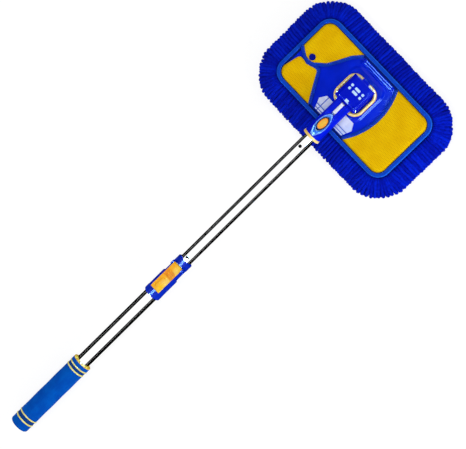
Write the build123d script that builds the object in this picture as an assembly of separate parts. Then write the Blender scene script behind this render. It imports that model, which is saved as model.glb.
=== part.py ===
from build123d import *

import os
from math import asin, atan2, cos, degrees, floor, hypot, pi, radians, sin, tan

# Telescopic car wash mop: a chenille pad on a swivelling plate, a neck with an angle
# brake, and a two-tube pole with a cam-lever clamp and a foam grip.
# Millimetres. X runs from the grip towards the head, along the pole, Y along the pad's
# long side and Z up from the wash face, which lies on Z = 0 below the swivel.

# Fits and tolerances, shared by every piece
overrun = 2.0           # how far a cut runs past the face that it opens
running_gap = 0.05      # radial play of a pin or tube that turns or slides
seat_gap = 0.1          # play round a piece that is fixed in its seat
moving_gap = 0.3        # air between faces that pass each other
soft_gap = 0.3          # air between cloth and its neighbours

# Pad: chenille pile, fringe, foam and cloth
pad_length = 228.9      # along Y, over the edge binding
pad_width = 123.3       # along X
pad_corner = 22.0
pad_shift = -1.5        # the slipped-on pad sits this far off the swivel's centre line
pile_length = 24.0
pile_pitch = 10.0
pile_side = 6.0
pile_margin = 11.0      # from the pad's edge to the first row of strands
pile_turn = 37.0        # each strand is turned this many degrees more than the last
trim_depth = 0.5        # the pile is trimmed level by this much
root_bite = 1.0         # how far a strand's root reaches into the cloth that holds it
base_cloth = 2.0
base_cloth_inset = 4.0
band_inset = 1.3        # fringe band: a woven strip that holds the fringe's roots
band_width = 9.7
band_thickness = 2.0
foam_thickness = 5.0
backing_thickness = 1.5
binding_width = 7.1
binding_height = 10.5
binding_wall = 1.6
binding_round = 2.4

# Fringe strands
fringe_root_inset = 3.2
fringe_front_reach = 30.3
fringe_rear_reach = 35.5
fringe_left_reach = 32.5
fringe_right_reach = 32.5
fringe_corner_share = 0.92   # strands at the pad's corners are this much of their run's reach
fringe_wave = 0.7       # strands end this much shorter and longer by turns
fringe_pitch = 5.2
fringe_width = 4.4      # a strand's width along the pad's edge
fringe_wave_step = 2.4  # radians from one strand to the next
fringe_root_thickness = 3.4
fringe_tip_thickness = 6.0
fringe_tip_height = 5.0
fringe_bend_share = 0.55
fringe_bend_drop_share = 0.28

# Base plate
plate_end_play = 0.6    # from the plate's nearer end to the pocket that holds it
plate_side_play = 0.85
plate_corner = 16.0
plate_rim = 3.0
plate_round = 1.2
plate_roof = 1.5        # wall left between the hollow below and the seat's recess
plate_wall = 2.5
dome_length = 64.6      # along Y
dome_width = 69.0       # along X
dome_centre = 6.5       # dome's centre along X, ahead of the swivel
dome_corner = 14.0
dome_rise = 2.0
dome_slope = 62.0       # degrees from upright
ridge_length = 61.0
ridge_width = 6.4
ridge_height = 1.8
ridge_inset = 6.5       # from the plate's front edge to the ridge's centre
ridge_centre_y = -1.9
ridge_groove = 1.0
fan_height = 2.5
fan_near = 6.0          # fan's outline, from the neck's centre line outwards
fan_side = 28.0
fan_tip = 34.2
fan_front = -26.0
fan_tip_x = -36.0
fan_inset = 1.0         # from the plate's rear edge to the fans
fan_sink = 0.6          # the fans are let into the plate by this much
fan_rib_pitch = 6.2
fan_long_groove = 24.0
fan_groove = 1.2
fan_groove_depth = 0.8

# Pockets, flap and tapes
pocket_wall = 1.2
tape_width = 5.4
tape_thickness = 1.9
mouth_radius = 103.0    # large pocket's mouth is an arc
mouth_centre_x = 4.6
mouth_clear = 0.4          # from the fan's rear corner to the mouth's tape
# Free edges of the corner pocket and the flap, as shares of the pad's half width and
# half length from the pad's centre; both close outside the pad
corner_edge_shares = ((-0.94, 0.337), (-0.154, 0.586), (-0.248, 0.755), (-0.207, 0.873),
                      (-0.37, 0.896), (-0.766, 0.947), (-0.9, 0.84))
flap_edge_shares = ((0.909, 0.285), (0.661, 0.399), (0.301, 0.498), (0.102, 0.557),
                    (-0.135, 0.696), (-0.147, 0.803), (0.063, 0.99))
flap_beyond_share = 1.1
flap_round = 12.0
corner_pocket_round = 5.0
underlap = 22.0         # how far the corner pocket runs on below the flap
snap_place_shares = (-0.0376, 0.747)
snap_radius = 5.0
snap_rise = 1.5
snap_shank = 1.5
stud_radius = 3.2

# Swivel seat, loop and roll pin
seat_margin = 0.5       # from the seat's flange to the loop round it
seat_sink = 1.5         # the flange is let into the dome by this much
seat_flange = 3.0
lug_radius = 5.0
lug_thickness = 4.0
lug_rear = 1.5          # rear face of the rear lug
lug_spacing = 16.0
roll_height = 47.0
roll_pin_radius = 2.5
roll_limit = 30.0       # degrees to each side
screw_radius = 1.4
screw_head_radius = 2.8
screw_head_height = 1.6
screw_inset = 6.5       # from the flange's edges to the screws
screw_bite = 2.6
loop_wire = 2.5         # radius of the loop's round section
loop_length = 49.0      # along X, centre line to centre line
loop_width = 49.6
loop_centre = 4.1
loop_front_corner = 12.5
loop_rear_corner = 14.0
loop_bevel = 1.4
loop_sink = 1.5

# Swivel block
pin_x = -10.2
pin_rise = 8.6             # from the roll axis up to the hinge pin
knuckle_radius = 4.6
block_half_width = 20.6
block_front = 28.0
block_shoulder = 6.5
block_edge = 0.8
keel_radius = 5.5
knuckle_half_width = 4.0
fork_inner = 4.3
fork_outer = 13.8
cheek_outer = 20.1
hinge_pin_radius = 2.0
tab_half_width = 6.4
tab_reach = 4.4
tab_low = 49.0
tab_drop = 1.7
recess_rows = (13.6, 7.4)
recess_side_y = 10.7
recess_size = 4.2
recess_long = 9.4
recess_depth = 1.2
recess_pad_height = 0.9
latch_pad_front = 3.9    # the pale pad on the middle knuckle, from its front to the pin
latch_pad_rear = -0.9
latch_pad_half_width = 3.0

# Neck, along its own axis from the hinge pin towards the grip
neck_radius = 13.5
neck_front = 5.0
neck_flat = 9.2         # half height of the neck's front part
neck_slope_start = 27.7
neck_slope_end = 58.7
neck_heel_start = 52.7
neck_heel_end = 62.7
neck_end = 69.6
fork_radius = 3.4
fork_waist = 1.7
spigot_end = 104.7
ring_width = 4.0
ring_radius = 14.2
snap_pin_at = 93.0
snap_pin_radius = 2.5
snap_pin_rise = 0.5
snap_pin_length = 5.0

# Brake bar, button, bezel and spring
bar_half_width = 2.7
bar_nose_low = -2.6
bar_nose_end = 10.6
bar_top = 9.6
bar_step = 23.7
bar_blade_low = 2.2
bar_blade_high = 5.0
bar_tail_half_width = 5.0
bar_tail_start = 32.7
bar_end = 58.7
bar_edge = 1.2
button_travel = 2.2
button_at = 46.0
button_length = 21.4
button_width = 11.4
button_gap = 0.6
button_rise = 1.5
button_edge = 0.9
button_floor = 8.2
foot_half_width = 2.5
foot_front = 43.7
foot_heel = 46.7
foot_low = 2.4
window_front = 40.2
window_half_width = 2.9
bezel_front = 26.3
bezel_end = 68.3
bezel_widest = 43.9
bezel_half_width = 8.8
bezel_front_share = 0.78
bezel_tail_share = 0.72
bezel_sink = 1.2
bezel_rise = 1.0
spring_radius = 2.4
spring_wire = 0.7
spring_pocket_end = 66.7

# Tubes
inner_tube_radius = 9.5
outer_tube_radius = 11.0
tube_wall = 1.0
inner_tube_end = 669.0
outer_tube_start = 370.7
outer_tube_end = 693.9
stop_rivet_at = 329.1
stop_rivet_radius = 2.5
stop_rivet_rise = 0.4
bush_shank = 18.6
bush_flange = 9.4
butt_shank = 10.0
butt_head = 3.4
butt_head_radius = 12.0

# Clamp
clamp_start = 335.8
clamp_end = 409.7
collar_length = 13.2
collar_radius = 12.5
clamp_radius = 12.0
clamp_step_at = 367.7
clamp_lower_radius = 13.75
lower_collar_length = 11.0
lower_collar_radius = 14.0
collar_round = 1.6
pivot_at = 349.0
pivot_height = 13.6
lever_pin_radius = 1.25
cam_radius = 2.6
cam_throw = 0.35
shoe_half_length = 3.6
shoe_half_width = 5.0
ear_half_width = 11.4
ear_radius = 3.6
lever_half_width = 8.25
lever_end = 397.2
lever_low = 12.4
lever_high = 15.7
lever_tip_lift = 0.9
lever_edge = 1.0
pad_start = 358.2
pad_size = 11.0
pad_depth = 0.7
rib_count = 3
rib_width = 1.4
bump_start = 374.2
bump_end = 393.2
bump_half_width = 4.2
bump_height = 0.9
clamp_rivet_at = 404.2
clamp_rivet_radius = 1.8
slit_width = 1.5

# Grip
grip_radius = 15.5
grip_start = 557.5
grip_end = 698.3
grip_round = 5.0
grip_ring_width = 2.5
grip_ring_depth = 1.5
grip_rings_from_butt = (14.4, 22.9, 125.2, 132.3)
grip_waist_depth = 0.35
grip_collar_width = 1.2

# Heights through the pad, worked out from the layers
cloth_low = pile_length
band_low = cloth_low + base_cloth
foam_low = band_low + band_thickness
backing_low = foam_low + foam_thickness
plate_low = backing_low + backing_thickness
plate_top = plate_low + plate_rim
binding_top = foam_low + binding_height
pocket_low = plate_top + soft_gap
pocket_top = pocket_low + pocket_wall
flap_low = pocket_top + soft_gap
flap_top = flap_low + pocket_wall
dome_top = plate_top + dome_rise
seat_low = dome_top - seat_sink
seat_top = seat_low + seat_flange
loop_height = dome_top + loop_wire - loop_sink
pin_height = roll_height + pin_rise
block_top = pin_height + knuckle_radius
pocket_inset = binding_width + soft_gap
cavity_inset = pocket_inset + pocket_wall
plate_length = pad_length - 2 * (cavity_inset + plate_end_play + abs(pad_shift))
plate_width = pad_width - 2 * (cavity_inset + plate_side_play)
ridge_centre_x = plate_width / 2 - ridge_inset
fan_rear = fan_inset - plate_width / 2
mouth_rise = ((mouth_radius - tape_width) ** 2 - (fan_rear - mouth_centre_x) ** 2) ** 0.5
mouth_centre_y = mouth_rise - fan_side - mouth_clear
seat_inset = loop_wire + seat_margin
tube_bore = inner_tube_radius - tube_wall
sleeve_bore = outer_tube_radius - tube_wall
inner_tube_start = neck_end + ring_width

# The pole lies on its grip: this is how far it slopes down from the hinge pin
grip_contact = grip_end - grip_round
grip_core = grip_radius - grip_round
pole_drop = degrees(
    asin((pin_height - grip_round) / hypot(grip_contact, grip_core)) - atan2(grip_core, grip_contact)
)


def slab(sketch, low, high):
    """A plan sketch carried up from one height to another."""
    return extrude(Pos(0, 0, low) * sketch, amount=high - low)


def side_plate(sketch, y_low, y_high):
    """An X-Z profile carried across Y."""
    return extrude(Plane.XZ.offset(-y_high) * sketch, amount=y_high - y_low)


def bar_along(sketch, x_low, x_high):
    """A Y-Z section carried along X."""
    return extrude(Plane.YZ.offset(x_low) * sketch, amount=x_high - x_low)


def pole_bar(sketch, start, end):
    """A Y-Z section carried along the pole, between two distances from the hinge pin."""
    return bar_along(sketch, -end, -start)


def box_between(low, high):
    """A box between two opposite corners."""
    size = [b - a for a, b in zip(low, high)]
    return Pos(*low) * Box(*size, align=(Align.MIN, Align.MIN, Align.MIN))


def outline(points):
    """A closed straight-sided face."""
    return make_face(Polyline(*points, close=True))


def tube_section(radius, bore):
    return Circle(radius) - Circle(bore)


def lay(shape):
    """Set a neck or pole piece from its own straight axis onto the sloping pole."""
    return Pos(pin_x, 0, pin_height) * Rot(0, -pole_drop, 0) * shape


# Pad
def pad_plan(inset):
    """The pad's rounded outline, drawn in by an inset."""
    width = pad_width - 2 * inset
    length = pad_length - 2 * inset
    return Pos(0, pad_shift) * RectangleRounded(width, length, pad_corner - inset)


def pile():
    """Four-sided chenille strands, each turned a step further, on a slice of base cloth."""
    cloth = slab(pad_plan(base_cloth_inset), cloth_low, band_low)
    columns = floor((pad_width / 2 - pile_margin) / pile_pitch)
    rows_low = floor((pad_length / 2 - pile_margin - pad_shift) / pile_pitch)
    rows_high = floor((pad_length / 2 - pile_margin + pad_shift) / pile_pitch)
    strands = []
    for column in range(-columns, columns + 1):
        for row in range(-rows_low, rows_high + 1):
            turned = Rot(0, 0, pile_turn * len(strands)) * Rectangle(pile_side, pile_side)
            foot = Pos(column * pile_pitch, row * pile_pitch) * turned
            strands.append(slab(foot, -trim_depth, cloth_low + root_bite))
    waste = box_between((-pad_width, -pad_length, -overrun), (pad_width, pad_length, 0))
    return cloth.fuse(*strands) - waste, len(strands)


def fringe_strand(root, angle, reach):
    """One strand, level at its root and bending down towards its tip."""
    outward = Vector(cos(angle), sin(angle), 0)
    root_height = foam_low - soft_gap - fringe_root_thickness / 2
    bend_height = root_height - (root_height - fringe_tip_height) * fringe_bend_drop_share
    bend_thickness = (fringe_root_thickness + fringe_tip_thickness) / 2
    stations = (
        (0, root_height, fringe_root_thickness),
        (reach * fringe_bend_share, bend_height, bend_thickness),
        (reach, fringe_tip_height, fringe_tip_thickness),
    )
    faces = []
    for distance, height, thickness in stations:
        centre = root + outward * distance + Vector(0, 0, height)
        across = Plane(origin=centre, x_dir=Vector(0, 0, 1), z_dir=outward)
        faces.append(across * Rectangle(thickness, fringe_width))
    return loft(faces, ruled=True)


def fringe_roots():
    """Root points with their outward angles, side by side round the pad."""
    corner = pad_corner - fringe_root_inset
    centre_x = pad_width / 2 - pad_corner
    centre_y = pad_length / 2 - pad_corner
    runs = {"fringe_front": [], "fringe_rear": [], "fringe_left": [], "fringe_right": []}
    along_y = floor(2 * centre_y / fringe_pitch)
    for i in range(along_y):
        y = centre_y * ((2 * i + 1) / along_y - 1)
        runs["fringe_front"].append((centre_x + corner, y, 0))
        runs["fringe_rear"].append((-centre_x - corner, y, pi))
    along_x = floor(2 * centre_x / fringe_pitch)
    for i in range(along_x):
        x = centre_x * ((2 * i + 1) / along_x - 1)
        runs["fringe_left"].append((x, centre_y + corner, pi / 2))
        runs["fringe_right"].append((x, -centre_y - corner, -pi / 2))
    fan = floor(corner * pi / 2 / fringe_width)
    for side_x, name in ((1, "fringe_front"), (-1, "fringe_rear")):
        for side_y in (1, -1):
            for i in range(fan):
                turn = (i + 0.5) * pi / 2 / fan
                angle = atan2(side_y * sin(turn), side_x * cos(turn))
                x = side_x * centre_x + corner * cos(angle)
                y = side_y * centre_y + corner * sin(angle)
                runs[name].append((x, y, angle))
    return runs


def fringe():
    """Four runs of fringe, each fused to its length of the woven band."""
    ring = pad_plan(band_inset) - pad_plan(band_inset + band_width)
    band = slab(ring, band_low, foam_low)
    split = pad_width / 2 - pad_corner
    far = pad_length
    zones = {
        "fringe_front": ((split, -far, 0), (far, far, far)),
        "fringe_rear": ((-far, -far, 0), (-split, far, far)),
        "fringe_left": ((-split, 0, 0), (split, far, far)),
        "fringe_right": ((-split, -far, 0), (split, 0, far)),
    }
    reaches = {
        "fringe_front": fringe_front_reach,
        "fringe_rear": fringe_rear_reach,
        "fringe_left": fringe_left_reach,
        "fringe_right": fringe_right_reach,
    }
    runs = {}
    count = 0
    for name, roots in fringe_roots().items():
        strands = []
        for i, (x, y, angle) in enumerate(roots):
            straight = angle in (0, pi, pi / 2, -pi / 2)
            reach = reaches[name] * (1 if straight else fringe_corner_share)
            reach += fringe_wave * sin(fringe_wave_step * i)
            strands.append(fringe_strand(Vector(x, y + pad_shift, 0), angle, reach))
        count += len(strands)
        runs[name] = (band & box_between(*zones[name])).fuse(*strands)
    return runs, count


def foam_core():
    wide = slab(pad_plan(binding_width + soft_gap), foam_low, backing_low)
    narrow = slab(pad_plan(band_inset + band_width + soft_gap), band_low, foam_low)
    return wide + narrow


def edge_binding():
    """Folded tape round the pad's edge; the backing cloth lies in its groove."""
    ring = slab(pad_plan(0) - pad_plan(binding_width), foam_low, binding_top)
    rims = ring.faces().sort_by(Axis.Z)[-1].edges()
    ring = chamfer(rims, binding_round)
    return ring - slab(pad_plan(binding_wall), backing_low, plate_low)


# Pockets and flap
def on_pad(shares):
    """Points given as shares of the pad's half width and half length."""
    return [(a * pad_width / 2, b * pad_length / 2 + pad_shift) for a, b in shares]


snap_place = on_pad([snap_place_shares])[0]


def pouch(face, low, top):
    """A cloth panel whose skirt comes down to the backing along the binding."""
    cavity = slab(pad_plan(cavity_inset), plate_low, low)
    return slab(face & pad_plan(pocket_inset), plate_low, top) - cavity


def mouth(radius):
    return Pos(mouth_centre_x, mouth_centre_y) * Circle(radius)


def large_half():
    """The half of the plan that the large pocket lies in."""
    far = pad_length
    return Pos(0, -far / 2) * Rectangle(far, far)


def flap_face():
    beyond = flap_beyond_share
    first, last = flap_edge_shares[0], flap_edge_shares[-1]
    edge = FilletPolyline(*on_pad(flap_edge_shares), radius=flap_round)
    closing = on_pad((last, (last[0], beyond), (beyond, beyond), (beyond, first[1]), first))
    return make_face([edge, Polyline(*closing)])


def corner_face():
    points = on_pad(corner_edge_shares)
    return make_face(FilletPolyline(*points, radius=corner_pocket_round, close=True))


def flap_cover():
    """The plan of the flap with the tape along its free edge."""
    return offset(flap_face(), tape_width) & pad_plan(pocket_inset)


def large_pocket():
    return pouch(large_half() - mouth(mouth_radius), pocket_low, pocket_top)


def pocket_tape():
    band = (mouth(mouth_radius) - mouth(mouth_radius - tape_width)) & large_half()
    return slab(band & pad_plan(pocket_inset), pocket_low, pocket_low + tape_thickness)


def snap_flap():
    hole = Pos(*snap_place) * Circle(snap_shank + seat_gap)
    return pouch(flap_face() - hole, flap_low, flap_top)


def flap_tape():
    return slab(flap_cover() - flap_face(), flap_low, flap_low + tape_thickness)


def corner_pocket():
    """The corner panel, running on below the flap to carry the stud."""
    below = offset(corner_face(), underlap) & flap_cover() & pad_plan(cavity_inset + soft_gap)
    hole = Pos(*snap_place) * Circle(stud_radius + seat_gap)
    tongue = slab(below - hole, pocket_low, pocket_top)
    return pouch(corner_face(), pocket_low, pocket_top) + tongue


def corner_tape():
    band = offset(corner_face(), tape_width) - corner_face() - offset(flap_cover(), soft_gap)
    tape = slab(band & pad_plan(pocket_inset), pocket_low, pocket_low + tape_thickness)
    return tape.solids().sort_by(SortBy.VOLUME)[-1]


def snap_cap():
    at = Pos(*snap_place)
    cap = slab(at * Circle(snap_radius), flap_top, flap_top + snap_rise)
    cap = chamfer(cap.edges().sort_by(Axis.Z)[-1], snap_rise / 2)
    return cap + slab(at * Circle(snap_shank), pocket_top + seat_gap, flap_top)


def snap_stud():
    return slab(Pos(*snap_place) * Circle(stud_radius), pocket_low, pocket_top)


# Base plate
def loop_outline(grow):
    """The loop's centre line grown outwards: its rear corners are the rounder ones."""
    frame = Rectangle(loop_length + 2 * grow, loop_width + 2 * grow)
    rear, front = frame.vertices().group_by(Axis.X)
    frame = fillet(front, loop_front_corner + grow)
    rear = frame.vertices().group_by(Axis.X)[0]
    return Pos(loop_centre, 0) * fillet(rear, loop_rear_corner + grow)


def seat_plan(gap):
    return loop_outline(gap - seat_inset)


def screw_places():
    half_x = loop_length / 2 - seat_inset - screw_inset
    half_y = loop_width / 2 - seat_inset - screw_inset
    return [(loop_centre + i * half_x, j * half_y) for i in (1, -1) for j in (1, -1)]


def loop_plan(gap):
    """The band that the loop covers, on both sides of its centre line."""
    return loop_outline(loop_wire + gap) - loop_outline(-loop_wire - gap)


def seat_loop():
    """A bevelled frame let into the dome round the swivel."""
    frame = slab(loop_plan(0), loop_height - loop_wire, loop_height + loop_wire)
    return chamfer(frame.faces().sort_by(Axis.Z)[-1].edges(), loop_bevel)


def fan_plan(side):
    points = (
        (fan_front, fan_near),
        (fan_front, fan_side),
        (fan_tip_x, fan_tip),
        (fan_rear, fan_side),
        (fan_rear, fan_near),
    )
    return outline([(x, side * y) for x, y in points])


def foot_pad(side):
    """A raised five-sided pad beside the neck, with ribs between its grooves."""
    pad = slab(fan_plan(side), plate_top - fan_sink, plate_top + fan_height)
    deep = plate_top + fan_height - fan_groove_depth
    high = plate_top + fan_height + overrun
    for rib in (1, 2):
        x = fan_tip_x - rib * fan_rib_pitch
        pad -= box_between((x - fan_groove, -fan_tip, deep), (x, fan_tip, high))
    y = side * fan_long_groove
    pad -= box_between((fan_rear, y - fan_groove / 2, deep), (fan_front, y + fan_groove / 2, high))
    return pad


def ridge():
    """The double ridge near the plate's front edge."""
    at = Pos(ridge_centre_x, ridge_centre_y)
    plan = at * RectangleRounded(ridge_width, ridge_length, ridge_width / 3)
    bar = slab(plan, plate_top, plate_top + ridge_height)
    bar = chamfer(bar.faces().sort_by(Axis.Z)[-1].edges(), ridge_height / 2)
    groove = slab(at * Rectangle(ridge_groove, ridge_length), plate_top, plate_top + ridge_height)
    return bar - groove


def base_plate():
    rim = slab(RectangleRounded(plate_width, plate_length, plate_corner), plate_low, plate_top)
    rim = fillet(rim.faces().sort_by(Axis.Z)[-1].edges(), plate_round)
    dome_plan = Pos(dome_centre, 0) * RectangleRounded(dome_width, dome_length, dome_corner)
    dome = extrude(Pos(0, 0, plate_top) * dome_plan, amount=dome_rise, taper=dome_slope)
    hollow_plan = Pos(dome_centre, 0) * RectangleRounded(
        dome_width - 2 * plate_wall, dome_length - 2 * plate_wall, dome_corner - plate_wall
    )
    plate = rim + dome + ridge()
    plate -= slab(hollow_plan, plate_low - overrun, seat_low - plate_roof)
    plate -= slab(seat_plan(seat_gap), seat_low, dome_top + overrun)
    plate -= slab(loop_plan(seat_gap), loop_height - loop_wire, dome_top + overrun)
    for side in (1, -1):
        plate -= slab(offset(fan_plan(side), seat_gap), plate_top - fan_sink, plate_top + overrun)
    for place in screw_places():
        plate -= slab(Pos(*place) * Circle(screw_radius + seat_gap), plate_low, seat_top)
    return plate


def swivel_seat():
    """A flange let into the dome, with two lugs for the roll pin."""
    seat = slab(seat_plan(0), seat_low, seat_top)
    foot = Pos(0, (seat_low + roll_height) / 2) * Rectangle(2 * lug_radius, roll_height - seat_low)
    lug = Pos(0, roll_height) * Circle(lug_radius) + foot
    for start in (lug_rear, lug_rear + lug_spacing):
        seat += bar_along(lug, start, start + lug_thickness)
    bore = Pos(0, roll_height) * Circle(roll_pin_radius + running_gap)
    seat -= bar_along(bore, lug_rear - overrun, lug_rear + lug_spacing + lug_thickness + overrun)
    for place in screw_places():
        seat -= slab(Pos(*place) * Circle(screw_radius + running_gap), seat_low, seat_low + screw_bite)
    return seat


def seat_screws():
    """Four screws up through the plate's roof into the flange."""
    roof = seat_low - plate_roof
    screws = Part()
    for place in screw_places():
        screws += slab(Pos(*place) * Circle(screw_head_radius), roof - screw_head_height, roof)
        screws += slab(Pos(*place) * Circle(screw_radius), roof, seat_low + screw_bite - seat_gap)
    return screws


def roll_pin():
    end = lug_rear + lug_spacing + lug_thickness
    return bar_along(Pos(0, roll_height) * Circle(roll_pin_radius), lug_rear, end)


# Swivel block
def block_section():
    """Rounded shoulders above, and a keel whose sides slope at the roll limit."""
    slope = radians(roll_limit)
    keel_y = keel_radius * sin(slope)
    keel_z = roll_height - keel_radius * cos(slope)
    wing_z = keel_z + (block_half_width - keel_y) * tan(slope)
    sides = Polyline(
        (keel_y, keel_z),
        (block_half_width, wing_z),
        (block_half_width, block_top),
        (-block_half_width, block_top),
        (-block_half_width, wing_z),
        (-keel_y, keel_z),
    )
    keel = ThreePointArc((-keel_y, keel_z), (0, roll_height - keel_radius), (keel_y, keel_z))
    face = make_face([sides, keel])
    return fillet(face.vertices().group_by(Axis.Y)[-1], block_shoulder)


def below_flanks(radius):
    """All below a flat and two flanks at the roll limit's slope, this far from the axis."""
    slope = radians(roll_limit)
    flat_half = radius * tan(slope / 2)
    far = block_half_width + overrun
    side_z = (far - flat_half) * tan(slope) - radius
    right = ((flat_half, -radius), (far, side_z), (far, -far))
    left = [(-y, z) for y, z in reversed(right)]
    return outline([*right, *left])


def lug_room():
    """What a lug sweeps inside the block as the block rolls to either limit."""
    reach = lug_radius + moving_gap
    slope = radians(roll_limit)
    side_y = reach * cos(slope)
    side_z = roll_height + reach * sin(slope)
    drop = side_z - seat_top
    skirt = outline(
        (
            (-side_y, side_z),
            (side_y, side_z),
            (side_y + drop * tan(slope), seat_top),
            (-side_y - drop * tan(slope), seat_top),
        )
    )
    return Pos(0, roll_height) * Circle(reach) + skirt


def fork_room(low, high):
    """What a fork arm sweeps round the hinge pin, open behind and, for its waist, above."""
    reach = fork_radius + moving_gap
    behind = pin_x - knuckle_radius - overrun
    waist_x = pin_x + fork_waist + moving_gap
    room = side_plate(Pos(pin_x, pin_height) * Circle(reach), low, high)
    room += box_between((behind, low, pin_height - reach), (pin_x, high, block_top + overrun))
    return room + box_between((behind, low, pin_height), (waist_x, high, block_top + overrun))


def swivel_block():
    section = block_section()
    body = bar_along(section, pin_x, block_front)
    body = chamfer(body.faces().sort_by(Axis.X)[-1].edges(), block_edge)
    knuckle = side_plate(Pos(pin_x, pin_height) * Circle(knuckle_radius), -cheek_outer, cheek_outer)
    body += bar_along(section, pin_x - knuckle_radius, pin_x) & knuckle
    tab = box_between(
        (block_front - overrun, -tab_half_width, tab_low),
        (block_front + tab_reach, tab_half_width, block_top - tab_drop),
    )
    body += fillet(tab.edges().filter_by(Axis.Z), tab_drop)
    far_side = fork_outer + moving_gap
    for low, high in ((knuckle_half_width, far_side), (-far_side, -knuckle_half_width)):
        body -= fork_room(low, high)
    for start in (lug_rear, lug_rear + lug_spacing):
        body -= bar_along(lug_room(), start - moving_gap, start + lug_thickness + moving_gap)
    # both ends pass over the loop's corners as the block rolls, so their undersides are cut back
    over_loop = roll_height - loop_height - loop_wire - moving_gap
    front_start = loop_centre + loop_length / 2 - loop_front_corner
    rear_end = loop_centre - loop_length / 2 + loop_rear_corner
    relief = Pos(0, roll_height) * below_flanks(over_loop)
    body -= bar_along(relief, front_start, block_front + overrun)
    body -= bar_along(relief, pin_x - knuckle_radius - overrun, rear_end)
    roll_bore = Pos(0, roll_height) * Circle(roll_pin_radius + running_gap)
    body -= bar_along(roll_bore, lug_rear, block_front + overrun)
    pin_bore = Pos(pin_x, pin_height) * Circle(hinge_pin_radius + running_gap)
    body -= side_plate(pin_bore, -block_half_width - overrun, block_half_width + overrun)
    return body - recesses(0, block_top + overrun)


def recesses(inset, top):
    """Two rows of a long and two short recesses, and the latch pad's, filled to a height."""
    filled = Part()
    for x in recess_rows:
        for y, length in ((-recess_side_y, recess_size), (0, recess_long), (recess_side_y, recess_size)):
            width = recess_size - 2 * inset
            plan = Pos(x, y) * RectangleRounded(width, length - 2 * inset, recess_depth)
            filled += slab(plan, block_top - recess_depth, top)
    near = (pin_x + latch_pad_rear + inset, inset - latch_pad_half_width, block_top - recess_depth)
    far = (pin_x + latch_pad_front - inset, latch_pad_half_width - inset, top)
    return filled + box_between(near, far)


def block_pads():
    return recesses(seat_gap, block_top - recess_depth + recess_pad_height)


def hinge_pin():
    return side_plate(Pos(pin_x, pin_height) * Circle(hinge_pin_radius), -cheek_outer, cheek_outer)


# Neck
def neck_blank(grow):
    """A round bar with a flat top that rises to the full round, and a flat heel below."""
    flat = neck_flat + grow
    radius = neck_radius + grow
    rise = (neck_radius - neck_flat) / (neck_slope_end - neck_slope_start)
    fall = (neck_radius - neck_flat) / (neck_heel_end - neck_heel_start)
    profile = outline(
        (
            (-neck_front, -flat),
            (-neck_front, flat),
            (-neck_slope_start, flat),
            (-neck_end, flat + rise * (neck_end - neck_slope_start)),
            (-neck_end, -flat - fall * (neck_end - neck_heel_start)),
            (-neck_heel_start, -flat),
        )
    )
    wide = side_plate(profile, -radius - overrun, radius + overrun)
    return wide & pole_bar(Circle(radius), neck_front, neck_end)


def teardrop(grow):
    """The bezel's plan, blunt in front and longest behind."""
    half = bezel_half_width + grow
    upper = Spline(
        (-bezel_front + grow, 0),
        (-(bezel_front + bezel_widest) / 2, half * bezel_front_share),
        (-bezel_widest, half),
        (-(bezel_widest + bezel_end) / 2, half * bezel_tail_share),
        (-bezel_end - grow, 0),
        tangents=((0, 1), (0, -1)),
    )
    return make_face([upper, mirror(upper, Plane.XZ)])


def button_plan(gap):
    return Pos(-button_at, 0) * Ellipse(button_length / 2 + gap, button_width / 2 + gap)


def fork_arm(low, high):
    reach = neck_front + root_bite
    waist = Pos(-reach / 2, 0) * Rectangle(reach, 2 * fork_waist)
    return side_plate(Circle(fork_radius) + waist, low, high)


def neck_housing():
    top = neck_radius + overrun
    channel_half = bar_half_width + moving_gap
    tail_half = bar_tail_half_width + moving_gap
    blade_low = bar_blade_low - moving_gap
    blade_high = bar_blade_high + moving_gap
    slack = button_travel + moving_gap
    # the underside slopes away, so that it clears the loop when it rolls
    body = neck_blank(0) - pole_bar(below_flanks(neck_flat), neck_front - overrun, neck_heel_start)
    body += fork_arm(fork_inner, fork_outer) + fork_arm(-fork_outer, -fork_inner)
    body += pole_bar(Circle(tube_bore - running_gap), neck_end, spigot_end)
    # channel of the brake bar: open on top in front, a tunnel under the bezel
    body -= box_between((-bar_step - slack, -channel_half, blade_low), (0, channel_half, top))
    body -= box_between(
        (-bar_nose_end - slack, -channel_half, bar_nose_low - moving_gap),
        (0, channel_half, top),
    )
    body -= box_between((-bar_tail_start, -channel_half, blade_low), (-bar_step, channel_half, blade_high))
    body -= box_between(
        (-bar_end - slack, -tail_half, blade_low),
        (-bar_tail_start + moving_gap, tail_half, blade_high),
    )
    body -= box_between(
        (-foot_heel - slack, -foot_half_width - moving_gap, foot_low - slack),
        (-foot_front + moving_gap, foot_half_width + moving_gap, blade_low),
    )
    body -= slab(button_plan(button_gap), bar_blade_high, top)
    spring_height = (bar_blade_low + bar_blade_high) / 2
    body -= pole_bar(Pos(0, spring_height) * Circle(spring_radius + moving_gap), bar_end, spring_pocket_end)
    body -= slab(teardrop(seat_gap), bar_blade_high, top) - neck_blank(-bezel_sink)
    bore_end = fork_outer + overrun
    body -= side_plate(Circle(hinge_pin_radius + running_gap), -bore_end, bore_end)
    pin_hole = Pos(-snap_pin_at, 0) * Circle(snap_pin_radius + seat_gap)
    return body - slab(pin_hole, inner_tube_radius - snap_pin_length, top)


def button_bezel():
    frame = slab(teardrop(0) - button_plan(button_gap), bar_blade_high, neck_radius + overrun)
    return (frame & neck_blank(bezel_rise)) - neck_blank(seat_gap - bezel_sink)


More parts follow.
